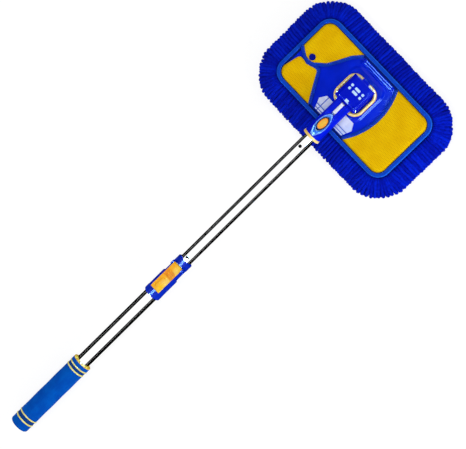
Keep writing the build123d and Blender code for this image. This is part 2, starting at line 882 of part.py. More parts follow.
def release_button():
    """An oval button with a wedge foot that draws the bar back."""
    cap = slab(button_plan(0), button_floor, neck_radius + overrun) & neck_blank(button_rise)
    cap = chamfer(cap.faces().sort_by(Axis.Z)[-1].edges(), button_edge)
    lean = button_floor - foot_low
    foot = outline(
        (
            (-foot_front, button_floor + root_bite),
            (-foot_heel - lean, button_floor + root_bite),
            (-foot_heel - lean, button_floor),
            (-foot_heel, foot_low),
            (-foot_front, foot_low),
        )
    )
    return cap + side_plate(foot, -foot_half_width, foot_half_width)


def brake_bar():
    """A sliding bar: its nose bears on the block's knuckle, its window takes the wedge."""
    front = -knuckle_radius - moving_gap
    head = outline(
        (
            (front, bar_nose_low),
            (front, bar_top),
            (-bar_step, bar_top),
            (-bar_step, bar_blade_low),
            (-bar_nose_end, bar_blade_low),
            (-bar_nose_end, bar_nose_low),
        )
    )
    bar = side_plate(head, -bar_half_width, bar_half_width)
    bar = fillet(bar.faces().sort_by(Axis.Z)[-1].edges(), bar_edge)
    bar += box_between(
        (-bar_end, -bar_half_width, bar_blade_low),
        (-bar_step + root_bite, bar_half_width, bar_blade_high),
    )
    bar += box_between(
        (-bar_end, -bar_tail_half_width, bar_blade_low),
        (-bar_tail_start, bar_tail_half_width, bar_blade_high),
    )
    heel_low = foot_heel + seat_gap - (foot_low - bar_blade_low)
    window = outline(
        (
            (-window_front, bar_blade_low - overrun),
            (-window_front, bar_blade_high + overrun),
            (-heel_low - (bar_blade_high - bar_blade_low) - overrun, bar_blade_high + overrun),
            (-heel_low + overrun, bar_blade_low - overrun),
        )
    )
    return bar - side_plate(window, -window_half_width, window_half_width)


def brake_spring():
    height = (bar_blade_low + bar_blade_high) / 2
    coil = Pos(0, height) * tube_section(spring_radius, spring_radius - spring_wire)
    return pole_bar(coil, bar_end + seat_gap, spring_pocket_end - seat_gap)


def neck_ring():
    return pole_bar(tube_section(ring_radius, tube_bore + running_gap), neck_end, inner_tube_start)


# Tubes
def inner_tube():
    tube = pole_bar(tube_section(inner_tube_radius, tube_bore), inner_tube_start, inner_tube_end)
    for place, radius in ((snap_pin_at, snap_pin_radius), (stop_rivet_at, stop_rivet_radius)):
        tube -= slab(Pos(-place, 0) * Circle(radius + seat_gap), 0, inner_tube_radius + overrun)
    return tube


def snap_pin():
    low = inner_tube_radius - snap_pin_length
    return slab(Pos(-snap_pin_at, 0) * Circle(snap_pin_radius), low, inner_tube_radius + snap_pin_rise)


def stop_rivet():
    plan = Pos(-stop_rivet_at, 0) * Circle(stop_rivet_radius)
    return slab(plan, tube_bore - tube_wall, inner_tube_radius + stop_rivet_rise)


def guide_bush():
    """Turns in the inner tube's end and slides in the outer tube."""
    shank_start = inner_tube_end - bush_shank
    shank = pole_bar(Circle(tube_bore - running_gap), shank_start, inner_tube_end + root_bite)
    flange_start = inner_tube_end + running_gap
    return shank + pole_bar(Circle(sleeve_bore - running_gap), flange_start, flange_start + bush_flange)


def outer_tube():
    tube = pole_bar(tube_section(outer_tube_radius, sleeve_bore), outer_tube_start, outer_tube_end)
    hole = Pos(-clamp_rivet_at, 0) * Circle(clamp_rivet_radius + seat_gap)
    return tube - slab(hole, -outer_tube_radius - overrun, 0)


def butt_cap():
    head_start = outer_tube_end + running_gap
    shank = pole_bar(Circle(sleeve_bore - running_gap), outer_tube_end - butt_shank, head_start + root_bite)
    return shank + pole_bar(Circle(butt_head_radius), head_start, head_start + butt_head)


# Clamp
def lever_room():
    """The recess that the lever closes into, and the round room of its cam."""
    half = lever_half_width + moving_gap
    hub = Pos(-pivot_at, pivot_height) * Circle(cam_radius + cam_throw + moving_gap)
    room = side_plate(hub, -half, half)
    near = (-lever_end - moving_gap, -half, lever_low - moving_gap)
    return room + box_between(near, (-pivot_at, half, grip_radius + overrun))


def ears():
    """Two raised ears that hold the lever pin."""
    plan = Pos(-pivot_at, pivot_height) * Circle(ear_radius)
    plan += Pos(-pivot_at, pivot_height / 2) * Rectangle(2 * ear_radius, pivot_height)
    inner = lever_half_width + moving_gap
    return side_plate(plan, inner, ear_half_width) + side_plate(plan, -ear_half_width, -inner)


def clamp_body():
    upper_collar = pole_bar(Circle(collar_radius), clamp_start, clamp_start + collar_length)
    upper_collar = chamfer(upper_collar.edges().filter_by(GeomType.CIRCLE), collar_round / 2)
    sleeve = pole_bar(Circle(clamp_radius), clamp_start + collar_length / 2, clamp_step_at + overrun)
    lower = pole_bar(Circle(clamp_lower_radius), clamp_step_at, clamp_end - lower_collar_length / 2)
    lower = chamfer(lower.edges().sort_by(Axis.X)[-1], collar_round)
    lower_collar = pole_bar(Circle(lower_collar_radius), clamp_end - lower_collar_length, clamp_end)
    lower_collar = chamfer(lower_collar.edges().filter_by(GeomType.CIRCLE), collar_round)
    body = upper_collar + sleeve + lower + lower_collar + ears()
    body -= lever_room()
    body -= pole_bar(Circle(inner_tube_radius + running_gap), clamp_start - overrun, outer_tube_start)
    body -= pole_bar(Circle(outer_tube_radius + running_gap), outer_tube_start, clamp_end + overrun)
    window_length = shoe_half_length + seat_gap
    window_width = shoe_half_width + seat_gap
    body -= box_between(
        (-pivot_at - window_length, -window_width, 0),
        (-pivot_at + window_length, window_width, collar_radius),
    )
    body -= side_plate(
        Pos(-pivot_at, pivot_height) * Circle(lever_pin_radius + running_gap),
        -ear_half_width - overrun,
        ear_half_width + overrun,
    )
    body -= box_between(
        (-clamp_step_at, -slit_width / 2, -collar_radius - overrun),
        (-clamp_start + overrun, slit_width / 2, 0),
    )
    rivet_hole = Pos(-clamp_rivet_at, 0) * Circle(clamp_rivet_radius + seat_gap)
    return body - slab(rivet_hole, -lower_collar_radius - overrun, 0)


def pressure_shoe():
    top = pivot_height - cam_radius - cam_throw - running_gap
    shoe = box_between(
        (-pivot_at - shoe_half_length, -shoe_half_width, 0),
        (-pivot_at + shoe_half_length, shoe_half_width, top),
    )
    return shoe - pole_bar(Circle(inner_tube_radius + running_gap), clamp_start, outer_tube_start)


def lever_pin():
    pin = Pos(-pivot_at, pivot_height) * Circle(lever_pin_radius)
    return side_plate(pin, -ear_half_width, ear_half_width)


def clamp_rivet():
    rivet = Pos(-clamp_rivet_at, 0) * Circle(clamp_rivet_radius)
    return slab(rivet, -lower_collar_radius, -sleeve_bore - seat_gap)


def clamp_lever():
    """A flat lever on an eccentric hub, with a ribbed thumb recess and a long bump."""
    arm = outline(
        (
            (-pivot_at, lever_low),
            (-pivot_at, lever_high),
            (-lever_end + lever_edge, lever_high + lever_tip_lift),
            (-lever_end, lever_high),
            (-lever_end, lever_low + lever_edge),
            (-lever_end + lever_edge, lever_low),
        )
    )
    lever = side_plate(arm, -lever_half_width, lever_half_width)
    lever = chamfer(lever.faces().sort_by(Axis.Z)[-1].edges(), lever_edge / 2)
    hub = Pos(-pivot_at, pivot_height - cam_throw) * Circle(cam_radius)
    lever += side_plate(hub, -lever_half_width, lever_half_width)
    high = lever_high + lever_tip_lift + bump_height
    dent = box_between(
        (-pad_start - pad_size, -pad_size / 2, lever_high - pad_depth),
        (-pad_start, pad_size / 2, high),
    )
    pitch = pad_size / rib_count
    for i in range(rib_count):
        x = -pad_start - (i + 0.5) * pitch
        dent -= box_between(
            (x - rib_width / 2, -pad_size / 2, lever_high - pad_depth),
            (x + rib_width / 2, pad_size / 2, lever_high),
        )
    lever -= dent
    bump_plan = SlotOverall(bump_end - bump_start, 2 * bump_half_width)
    bump = slab(Pos(-(bump_start + bump_end) / 2, 0) * bump_plan, lever_high - root_bite, high)
    lever += chamfer(bump.faces().sort_by(Axis.Z)[-1].edges(), bump_height)
    bore = Pos(-pivot_at, pivot_height) * Circle(lever_pin_radius + running_gap)
    return lever - side_plate(bore, -ear_half_width, ear_half_width)


# Grip
def foam_grip():
    """A foam sleeve with a rounded butt and grooves for its rings."""
    start = grip_start + grip_collar_width
    grip = pole_bar(Circle(grip_radius), start, grip_end)
    grip = fillet(grip.edges().sort_by(Axis.X)[0], grip_round)
    waist = tube_section(grip_radius + overrun, grip_radius - grip_waist_depth)
    groove = tube_section(grip_radius + overrun, grip_radius - grip_ring_depth)
    places = sorted(grip_end - place for place in grip_rings_from_butt)
    for low, high in (places[:2], places[2:]):
        grip -= pole_bar(waist, low, high)
    for place in places:
        grip -= pole_bar(groove, place - grip_ring_width / 2, place + grip_ring_width / 2)
    grip -= pole_bar(Circle(outer_tube_radius + running_gap), start - overrun, outer_tube_end)
    return grip - pole_bar(Circle(butt_head_radius + seat_gap), outer_tube_end, grip_end + overrun)


def grip_rings():
    section = tube_section(grip_radius, grip_radius - grip_ring_depth + running_gap)
    half = grip_ring_width / 2 - running_gap
    rings = Part()
    for place in grip_rings_from_butt:
        rings += pole_bar(section, grip_end - place - half, grip_end - place + half)
    return rings


def grip_collar():
    section = tube_section(grip_radius, outer_tube_radius + running_gap)
    return pole_bar(section, grip_start, grip_start + grip_collar_width)


pile_shape, pile_count = pile()
fringe_runs, fringe_count = fringe()
print("strands", pile_count + fringe_count)

head_parts = {
    "chenille_pile": pile_shape,
    **fringe_runs,
    "foam_core": foam_core(),
    "pad_backing": slab(pad_plan(binding_wall + seat_gap), backing_low, plate_low),
    "edge_binding": edge_binding(),
    "large_pocket": large_pocket(),
    "pocket_tape": pocket_tape(),
    "corner_pocket": corner_pocket(),
    "corner_tape": corner_tape(),
    "snap_flap": snap_flap(),
    "flap_tape": flap_tape(),
    "snap_cap": snap_cap(),
    "snap_stud": snap_stud(),
    "base_plate": base_plate(),
    "swivel_seat": swivel_seat(),
    "seat_screws": seat_screws(),
    "roll_pin": roll_pin(),
    "foot_pads": foot_pad(1) + foot_pad(-1),
    "seat_loop": seat_loop(),
    "swivel_block": swivel_block(),
    "block_pads": block_pads(),
    "hinge_pin": hinge_pin(),
}
pole_parts = {
    "neck_housing": neck_housing(),
    "button_bezel": button_bezel(),
    "release_button": release_button(),
    "brake_bar": brake_bar(),
    "brake_spring": brake_spring(),
    "neck_ring": neck_ring(),
    "inner_tube": inner_tube(),
    "snap_pin": snap_pin(),
    "stop_rivet": stop_rivet(),
    "guide_bush": guide_bush(),
    "outer_tube": outer_tube(),
    "butt_cap": butt_cap(),
    "clamp_body": clamp_body(),
    "pressure_shoe": pressure_shoe(),
    "lever_pin": lever_pin(),
    "clamp_rivet": clamp_rivet(),
    "clamp_lever": clamp_lever(),
    "foam_grip": foam_grip(),
    "grip_rings": grip_rings(),
    "grip_collar": grip_collar(),
}

os.makedirs("parts", exist_ok=True)
for name, shape in head_parts.items():
    export_step(shape, "parts/" + name + ".step")
for name, shape in pole_parts.items():
    export_step(lay(shape), "parts/" + name + ".step")
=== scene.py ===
import math

import bpy
import numpy as np
from mathutils import Matrix, Vector


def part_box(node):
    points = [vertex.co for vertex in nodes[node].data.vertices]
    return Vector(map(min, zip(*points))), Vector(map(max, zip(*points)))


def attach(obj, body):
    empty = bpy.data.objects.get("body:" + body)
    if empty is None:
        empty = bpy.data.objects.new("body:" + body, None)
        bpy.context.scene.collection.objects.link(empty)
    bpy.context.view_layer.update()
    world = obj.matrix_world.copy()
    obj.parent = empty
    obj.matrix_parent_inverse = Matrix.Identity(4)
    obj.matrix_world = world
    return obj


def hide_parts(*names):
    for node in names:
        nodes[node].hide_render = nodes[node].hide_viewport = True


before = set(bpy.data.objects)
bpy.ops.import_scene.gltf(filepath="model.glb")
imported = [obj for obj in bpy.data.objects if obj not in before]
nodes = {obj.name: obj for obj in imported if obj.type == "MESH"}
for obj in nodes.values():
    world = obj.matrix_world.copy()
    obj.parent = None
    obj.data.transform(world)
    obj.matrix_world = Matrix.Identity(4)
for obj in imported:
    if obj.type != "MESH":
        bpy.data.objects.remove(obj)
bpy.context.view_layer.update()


# Camera: a long lens far above the mop, leaning a little towards its head and its right
# side, and turned so that the pole runs from the lower left corner to the upper right one.
lean = math.radians(8.0)
side_lean = math.radians(7.0)
roll = math.radians(44.16)
camera_distance = 4.0
frame_width = 0.691
sensor_width = 36
aim_along_pole, aim_along_pad, aim_upwards = -0.2604, -0.0064, -0.025
towards_camera = Vector((math.sin(lean), -math.sin(side_lean), 0))
towards_camera.z = math.sqrt(1 - towards_camera.length_squared)
along_pole = (Vector((1, 0, 0)) - towards_camera.x * towards_camera).normalized()
along_pad = towards_camera.cross(along_pole)
to_the_right = math.cos(roll) * along_pole - math.sin(roll) * along_pad
to_the_top = math.sin(roll) * along_pole + math.cos(roll) * along_pad
aim = aim_along_pole * along_pole + aim_along_pad * along_pad + aim_upwards * towards_camera
camera = bpy.data.objects.new("camera", bpy.data.cameras.new("camera"))
camera.data.sensor_fit = "HORIZONTAL"
camera.data.sensor_width = sensor_width
camera.data.lens = sensor_width * camera_distance / frame_width
camera_turn = Matrix((to_the_right, to_the_top, towards_camera)).transposed().to_4x4()
camera.matrix_world = Matrix.Translation(aim + camera_distance * towards_camera) @ camera_turn
bpy.context.scene.collection.objects.link(camera)
bpy.context.scene.camera = camera


# Studio: a white floor that keeps a faint shadow, a black card that only reflections see,
# as photographers lay beside bright tubes, an even sky with one long lamp over the pole,
# a lamp from the right, and three bluish lamps that show only as glints on the plastic.
class Value:
    """A shader socket. An expression on values adds the Math nodes that work it out."""

    def __init__(self, finish, socket):
        self.finish, self.socket = finish, socket

    def maths(self, operation, *values):
        """A Math node over the values given, or over this one alone."""
        return self.finish.node("ShaderNodeMath", {"operation": operation}, values or [self])

    def smaller(self, other):
        return self.maths("MINIMUM", self, other)

    def larger(self, other):
        return self.maths("MAXIMUM", self, other)

    def __add__(self, other):
        return self.maths("ADD", self, other)

    def __sub__(self, other):
        return self.maths("SUBTRACT", self, other)

    def __rsub__(self, other):
        return self.maths("SUBTRACT", other, self)

    def __mul__(self, other):
        return self.maths("MULTIPLY", self, other)

    def __truediv__(self, other):
        return self.maths("DIVIDE", self, other)

    __radd__ = __add__
    __rmul__ = __mul__


class Finish:
    """A node material, or the sky's nodes, built from values and closed by one shader.

    Its patterns read the object's own coordinates, or the UV map on tapes and the grip.
    """

    def __init__(self, name, coordinates="Object", owners=bpy.data.materials):
        self.owner = owners.new(name)
        self.owner.use_nodes = True
        self.tree = self.owner.node_tree
        self.tree.nodes.clear()
        self.place = self.node("ShaderNodeTexCoord", output=coordinates)

    def node(self, kind, settings=None, values=(), output=0):
        """Adds a node: its settings first, then the values or links of its sockets."""
        node = self.tree.nodes.new(kind)
        for name, setting in (settings or {}).items():
            setattr(node, name, setting)
        for key, value in values.items() if isinstance(values, dict) else enumerate(values):
            if isinstance(value, Value):
                self.tree.links.new(value.socket, node.inputs[key])
            else:
                node.inputs[key].default_value = value
        return Value(self, node.outputs[output])

    def axis(self, name):
        return self.node("ShaderNodeSeparateXYZ", None, [self.place], name)

    def attribute(self, name):
        """A value that the mesh holds at each of its points."""
        return self.node("ShaderNodeAttribute", {"attribute_name": name}, output="Fac")

    def noise(self, scale, detail=3.0, stretch=(1, 1, 1)):
        spread = self.node("ShaderNodeVectorMath", {"operation": "MULTIPLY"}, [self.place, stretch])
        return self.node("ShaderNodeTexNoise", None, {"Vector": spread, "Scale": scale, "Detail": detail})

    def step(self, value, low, high):
        """0 at low and 1 at high, with a smooth rise between them."""
        smooth = {"interpolation_type": "SMOOTHSTEP"}
        return self.node("ShaderNodeMapRange", smooth, [value, low, high, 0.0, 1.0])

    def patches(self, scale, low=0.3, high=0.7):
        """Soft-edged patches: noise, stepped between two of its values."""
        return self.step(self.noise(scale), low, high)

    def wave(self, value, length):
        """A sine from 0 to 1, once every length."""
        return 0.5 * (value * (2 * math.pi / length)).maths("SINE") + 0.5

    def mix(self, share, first, second):
        """Two colours blended by a share: inputs 6 and 7 and output 2 are the node's colours."""
        return self.node("ShaderNodeMix", {"data_type": "RGBA"}, {0: share, 6: first, 7: second}, 2)

    def bump(self, height, distance, strength=1.0):
        values = {"Height": height, "Distance": distance, "Strength": strength}
        return self.node("ShaderNodeBump", None, values)

    def surface(self, base, roughness, specular=0.5, **others):
        """Closes the finish with a Principled shader. Others are sockets, underscores for spaces."""
        sockets = {"Base Color": base, "Roughness": roughness, "Specular IOR Level": specular}
        sockets.update({name.replace("_", " "): value for name, value in others.items()})
        return self.close(self.node("ShaderNodeBsdfPrincipled", None, sockets))

    def close(self, shader, kind="ShaderNodeOutputMaterial"):
        output = self.tree.nodes.new(kind)
        self.tree.links.new(shader.socket, output.inputs["Surface"])
        return self.owner


def lay_floor(name, half_size, height, material):
    """A level square round the origin, which isn't part of the mop."""
    signs = ((-1, -1), (1, -1), (1, 1), (-1, 1))
    mesh = bpy.data.meshes.new(name)
    mesh.from_pydata([(x * half_size, y * half_size, height) for x, y in signs], [], [(0, 1, 2, 3)])
    mesh.materials.append(material)
    piece = bpy.data.objects.new(name, mesh)
    bpy.context.scene.collection.objects.link(piece)
    return piece


floor_white = (0.9, 0.9, 0.9, 1)
glow_strength = 1.1
shadow_share = 0.25
white_floor = Finish("white_floor")
lit = white_floor.node("ShaderNodeBsdfDiffuse", None, [floor_white])
glow = white_floor.node("ShaderNodeEmission", None, [(1, 1, 1, 1), glow_strength])
shown = white_floor.node("ShaderNodeMixShader", None, [shadow_share, glow, lit])
rays = ("Is Camera Ray", "Is Glossy Ray", "Is Transmission Ray")
seen = sum(white_floor.node("ShaderNodeLightPath", output=ray) for ray in rays)
floor_shader = white_floor.node("ShaderNodeMixShader", None, [seen, lit, shown])
lay_floor("floor", 6.0, 0.0, white_floor.close(floor_shader))

card_black = Finish("black_card").surface((0, 0, 0, 1), roughness=1.0, specular=0.0)
card = lay_floor("card", 0.9, 0.0002, card_black)
card.visible_camera = card.visible_diffuse = card.visible_shadow = card.visible_transmission = False

# Mirrors see a bright sky high over the grip's end and low past the head, and black
# elsewhere; everything else sees the even sky.
even_strength = 0.8
mirrored_strength = 1.4
sky = Finish("studio", "Generated", bpy.data.worlds)
overhead = (0, -math.sin(side_lean), math.cos(side_lean))
raised = sky.node("ShaderNodeVectorMath", {"operation": "DOT_PRODUCT"}, [sky.place, overhead], "Value")
high_sky = sky.step(raised, 0.45, 0.51) * sky.step(sky.axis("X"), -0.175, -0.19)
brightness = mirrored_strength * high_sky.larger(sky.step(sky.axis("X"), 0.66, 0.76))
even = sky.node("ShaderNodeBackground", None, {"Strength": even_strength})
mirrored = sky.node("ShaderNodeBackground", None, {"Strength": brightness})
glossy = sky.node("ShaderNodeLightPath", output="Is Glossy Ray")
chosen = sky.node("ShaderNodeMixShader", None, [glossy, even, mirrored])
bpy.context.scene.world = sky.close(chosen, "ShaderNodeOutputWorld")
bpy.context.scene.view_settings.view_transform = "Standard"


def hang_lamp(name, place, target, width, length, power, spin=0.0):
    """A rectangular lamp that faces a target, turned by spin about its own beam."""
    data = bpy.data.lights.new(name, "AREA")
    data.shape = "RECTANGLE"
    data.size, data.size_y, data.energy = width, length, power
    lamp = bpy.data.objects.new(name, data)
    facing = (Vector(target) - Vector(place)).to_track_quat("-Z", "Y").to_matrix().to_4x4()
    lamp.matrix_world = Matrix.Translation(place) @ facing @ Matrix.Rotation(spin, 4, "Z")
    bpy.context.scene.collection.objects.link(lamp)
    return lamp


def glint(name, target, facing, size, power, distance):
    """A lamp that the camera sees mirrored in glossy faces that face this way at the target."""
    normal = Vector(facing).normalized()
    mirrored_way = 2 * normal.dot(towards_camera) * normal - towards_camera
    lamp = hang_lamp(name, Vector(target) + distance * mirrored_way, target, size, size, power)
    lamp.visible_diffuse = False
    lamp.data.color = (0.24, 0.58, 1.0)


hang_lamp("long_lamp", (-0.74, -0.06, 1.5), (-0.35, 0, 0), width=0.1, length=1.0, power=5.0, spin=math.pi / 2)
side_lamp = hang_lamp("side_lamp", (0.25, -1.5, 0.75), (0, 0, 0), width=0.4, length=0.4, power=13.0)
side_lamp.visible_glossy = False
slope_place = (-0.16, -0.93, 0.82)
slope_glint = hang_lamp("slope_glint", slope_place, (0, -0.03, 0.04), width=0.3, length=0.3, power=9.0)
slope_glint.visible_diffuse = False
slope_glint.data.color = (0.36, 0.68, 1.0)
glint("ridge_glint", (0.046, -0.137, 0.04), facing=(0.17, 0, 1), size=0.28, power=13.0, distance=0.6)
glint("collar_glint", (-0.38, 0, 0.05), facing=(-0.06, -0.06, 1), size=0.13, power=4.0, distance=0.25)


# Pile: chenille noodles tufted into the base cloth, which stand close together below it,
# each a fuzzy rope of its own with a rounded tip.
edge_low, edge_high = (np.array(corner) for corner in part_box("edge_binding"))
pad_centre = (edge_low + edge_high)[:2] / 2
pad_half = (edge_high - edge_low)[:2] / 2
pad_corner = 0.022
cloth_low = 0.024
chance = np.random.default_rng(7)


def grid_faces(rings, sides, rings_close=False, sides_close=True, count=1):
    """Quads over rings of points, with the ring and side number of each of their corners."""
    spans = (np.arange(count), np.arange(rings - (not rings_close)), np.arange(sides - (not sides_close)))
    copy, ring, side = (part.reshape(-1, 1) for part in np.meshgrid(*spans, indexing="ij"))
    ring = ring + np.array([0, 0, 1, 1])
    side = side + np.array([0, 1, 1, 0])
    return (copy * rings + ring % rings) * sides + side % sides, ring, side


def add_piece(name, body, material, points, faces, uv=None, **attributes):
    """A mesh piece from points and a list of face arrays, which moves with a body."""
    mesh = bpy.data.meshes.new(name)
    corners = np.concatenate([part.ravel() for part in faces]).astype(np.int32)
    sizes = np.concatenate([np.full(len(part), part.shape[1]) for part in faces])
    mesh.vertices.add(len(points))
    mesh.vertices.foreach_set("co", np.ascontiguousarray(points, np.float32).ravel())
    mesh.loops.add(len(corners))
    mesh.loops.foreach_set("vertex_index", corners)
    mesh.polygons.add(len(sizes))
    mesh.polygons.foreach_set("loop_start", (np.cumsum(sizes) - sizes).astype(np.int32))
    mesh.update(calc_edges=True)
    mesh.shade_smooth()
    if uv is not None:
        flat = np.zeros((len(corners), 2), np.float32)
        flat[: uv.size // 2] = uv.reshape(-1, 2)
        mesh.uv_layers.new(name="UVMap").data.foreach_set("uv", flat.ravel())
    for label, values in attributes.items():
        spread = mesh.attributes.new(label, "FLOAT", "POINT")
        spread.data.foreach_set("value", np.ascontiguousarray(values, np.float32).ravel())
    mesh.materials.append(material)
    piece = bpy.data.objects.new(name, mesh)
    bpy.context.scene.collection.objects.link(piece)
    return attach(piece, body)


def unit(vectors):
    """Vectors divided by their lengths."""
    return vectors / np.linalg.norm(vectors, axis=-1, keepdims=True)


def strands(name, material, routes, radii, wide_way, flatness):
    """Six-sided ropes side by side: rings of points round each route's centres, at the full
    radius towards the wide way and at a share of it, the flatness, square to that."""
    sides = 6
    count, rings, _ = routes.shape
    along = unit(np.gradient(routes, axis=1))
    narrow = unit(np.cross(along, wide_way))
    wide = np.cross(narrow, along)
    turns = np.arange(sides)[:, None] * 2 * np.pi / sides
    around = np.cos(turns) * wide[:, :, None] + flatness * np.sin(turns) * narrow[:, :, None]
    points = routes[:, :, None] + radii[:, :, None, None] * around
    first = np.arange(count)[:, None] * rings * sides
    tips = first + (rings - 1) * sides + np.arange(sides)
    roots = first + np.arange(sides)[::-1]
    tuft = np.repeat(chance.random(count), rings * sides)
    reach = np.tile(np.repeat(np.linspace(0, 1, rings), sides), count)
    faces = [grid_faces(rings, sides, count=count)[0], tips, roots]
    return add_piece(name, "head", material, points.reshape(-1, 3), faces, tuft=tuft, reach=reach)


def colour(red, green, blue):
    """A linear colour from its three screen values, 0 to 255, by the sRGB formula."""
    screen = np.array([red, green, blue]) / 255
    linear = np.where(screen <= 0.04045, screen / 12.92, ((screen + 0.055) / 1.055) ** 2.4)
    return (*linear.tolist(), 1.0)


chenille = Finish("chenille")
fuzz = chenille.noise(1500.0, 2.0)
clumps = chenille.noise(260.0, 2.0)
tone = 0.75 * chenille.attribute("tuft") + 0.5 * chenille.step(clumps, 0.3, 0.7) - 0.15
lit_blue = chenille.mix(chenille.step(fuzz, 0.3, 0.7), colour(0, 25, 196), colour(0, 36, 216))
blue = chenille.mix(chenille.step(tone, 0.0, 1.0), colour(0, 14, 164), lit_blue)
# Painted shade: the strands are painted darker near their roots, where they go in under the cloth and the
# binding.
past_root_shade = chenille.step(chenille.attribute("reach"), 0.0, 0.2)
fuzzy_blue = chenille.surface(
    chenille.mix(past_root_shade, colour(0, 8, 112), blue),
    roughness=1.0,
    specular=0.04,
    Sheen_Weight=0.06,
    Sheen_Roughness=0.6,
    Sheen_Tint=colour(60, 90, 240),
    Normal=chenille.bump(fuzz + 0.8 * clumps, 0.0009, 0.5),
)

noodle_pitch = 0.0076
noodle_radius = 0.0033
noodle_swell = np.array([0.8, 1.0, 0.96, 1.03, 0.9, 0.45])
noodle_margin = 0.008
noodle_top = cloth_low + 0.001
lowest_tip, highest_tip = 0.0005, 0.004
root_scatter = 0.0005
tip_scatter = 0.0012
thinnest, thickest = 0.92, 1.06
half = pad_half - noodle_margin
rows = np.arange(-half[1], half[1], noodle_pitch * math.sqrt(0.75))
columns = np.arange(-half[0], half[0], noodle_pitch)
grid_x, grid_y = np.meshgrid(columns, rows)
grid_x = grid_x + noodle_pitch / 2 * (np.arange(len(rows)) % 2)[:, None]
feet = np.stack([grid_x.ravel(), grid_y.ravel()], -1) + chance.normal(0, root_scatter, (grid_x.size, 2))
past = np.maximum(np.abs(feet) - (half - pad_corner / 2), 0)
feet = feet[np.linalg.norm(past, axis=1) < pad_corner / 2] + pad_centre
drop = np.linspace(0, 1, len(noodle_swell))
hang = noodle_top - (noodle_top - chance.uniform(lowest_tip, highest_tip, len(feet)))[:, None] * drop
sway = chance.normal(0, tip_scatter, (len(feet), 1, 2)) * drop[:, None] ** 2
noodles = np.concatenate([feet[:, None] + sway, hang[:, :, None]], -1)
noodle_radii = noodle_radius * noodle_swell * chance.uniform(thinnest, thickest, (len(feet), 1))
pile = strands("pile", fuzzy_blue, noodles, noodle_radii, wide_way=(0, 1, 0), flatness=1.0)
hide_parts("chenille_pile")


# Base cloth: the woven sheet that the pile is tufted into. It lies under the foam and is
# sewn to the backing all round, inside the binding.
def evenly(line, spacing):
    """A line's points, set out again at even steps along it."""
    travel = np.concatenate([[0], np.cumsum(np.linalg.norm(np.diff(line, axis=0), axis=1))])
    stops = np.linspace(0, travel[-1], max(3, round(travel[-1] / spacing)))
    return np.stack([np.interp(stops, travel, line[:, axis]) for axis in range(line.shape[1])], -1)


def corner_arcs(centre, half, corners):
    """Quarter circles at a rectangle's corners, anticlockwise from the rear right one."""
    arcs = []
    for quarter, (side_x, side_y) in enumerate(((-1, -1), (1, -1), (1, 1), (-1, 1))):
        bend = np.linspace(0, np.pi / 2, 12)[:, None] + np.pi * (1 + quarter / 2)
        hub = centre + (half - corners[quarter]) * (side_x, side_y)
        arcs.append(hub + corners[quarter] * np.hstack([np.cos(bend), np.sin(bend)]))
    return arcs


def pad_outline(inset, spacing=0.003):
    """The pad's outline drawn in by an inset, anticlockwise from the middle of its rear."""
    half = pad_half - inset
    start = pad_centre - (half[0], 0)
    arcs = corner_arcs(pad_centre, half, [pad_corner - inset] * 4)
    return evenly(np.concatenate([[start], *arcs, [start]]), spacing)


def rounded_distance(points, inset):
    """How far points lie inside the pad's rounded outline, drawn in by an inset."""
    past = np.abs(points - pad_centre) - (pad_half - pad_corner)
    outside = np.linalg.norm(np.maximum(past, 0), axis=-1)
    return pad_corner - inset - outside - np.minimum(np.max(past, axis=-1), 0)


def panel(name, material, border, height, thickness):
    """A sheet inside a closed border: the border shrunk to its middle in rings that crowd
    towards the edge, with a height worked out for each point."""
    rings = 14
    crowding = 0.8
    border = border[:-1]
    middle = border.mean(axis=0)
    shares = np.linspace(0, 1, rings + 1)[1:, None, None] ** crowding
    spread = (middle + shares * (border - middle)).reshape(-1, 2)
    flat = np.concatenate([spread, [middle]])
    sides = len(border)
    hub = np.full(sides, len(flat) - 1)
    fan = np.stack([hub, np.arange(sides), (np.arange(sides) + 1) % sides], -1)
    points = np.column_stack([flat, height(flat)])
    quads = grid_faces(rings, sides)[0][:, ::-1]
    piece = add_piece(name, "head", material, points, [quads, fan])
    shell = piece.modifiers.new("thickness", "SOLIDIFY")
    shell.thickness = thickness
    shell.offset = -1
    return piece


def pad_sheet(name, node, height, inset):
    """A level woven sheet as large as the pad, drawn in by an inset."""
    border = pad_outline(inset)
    sheet = panel(name, woven_blue, border, lambda at: np.full(len(at), height), thickness=0.0012)
    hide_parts(node)


cloth_high = 0.026
weave_pitch = 0.0011
cloth = Finish("cloth")
weft = cloth.wave(cloth.axis("X"), weave_pitch) * cloth.wave(cloth.axis("Y"), weave_pitch)
woven_blue = cloth.surface(
    cloth.mix(weft, colour(2, 26, 150), colour(8, 50, 200)),
    roughness=0.95,
    specular=0.15,
    Normal=cloth.bump(weft, 0.0003),
)
pad_sheet("base_cloth", "chenille_pile", cloth_high, inset=0.004)


# Fringe: four layers of chenille strips, sewn in under the binding, that fan out round
# the pad and droop, a little unevenly, so that the outline is scalloped.
root_inset = 0.0035
root_height = 0.0266
corner_draw_share = 0.07
spacing_share = 0.6
strip_shares = np.array([0, 0.18, 0.36, 0.54, 0.7, 0.84, 0.93, 0.98, 1.0])
strip_swell = np.array([0.8, 0.92, 1, 1, 1.02, 1.06, 1.06, 0.94, 0.55])
length_waves = ((0.0004, 1.9, 0), (0.0004, 0.37, 1))
slant_waves = ((0.07, 0.31, 0), (0.018, 0.83, 2))
length_scatter = 0.0001
slant_scatter = 0.014
strip_wobble, wobble_step = 0.0004, 9
slant_power, droop_power = 0.7, 2.1
strip_thinnest, strip_thickest = 0.95, 1.05
height_scatter = 0.0008
pad_front, pad_left = pad_centre + pad_half - root_inset
pad_rear, pad_right = pad_centre - pad_half + root_inset
reach_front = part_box("fringe_front")[1].x - pad_front
reach_rear = pad_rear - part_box("fringe_rear")[0].x
reach_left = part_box("fringe_left")[1].y - pad_left
reach_right = pad_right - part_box("fringe_right")[0].y


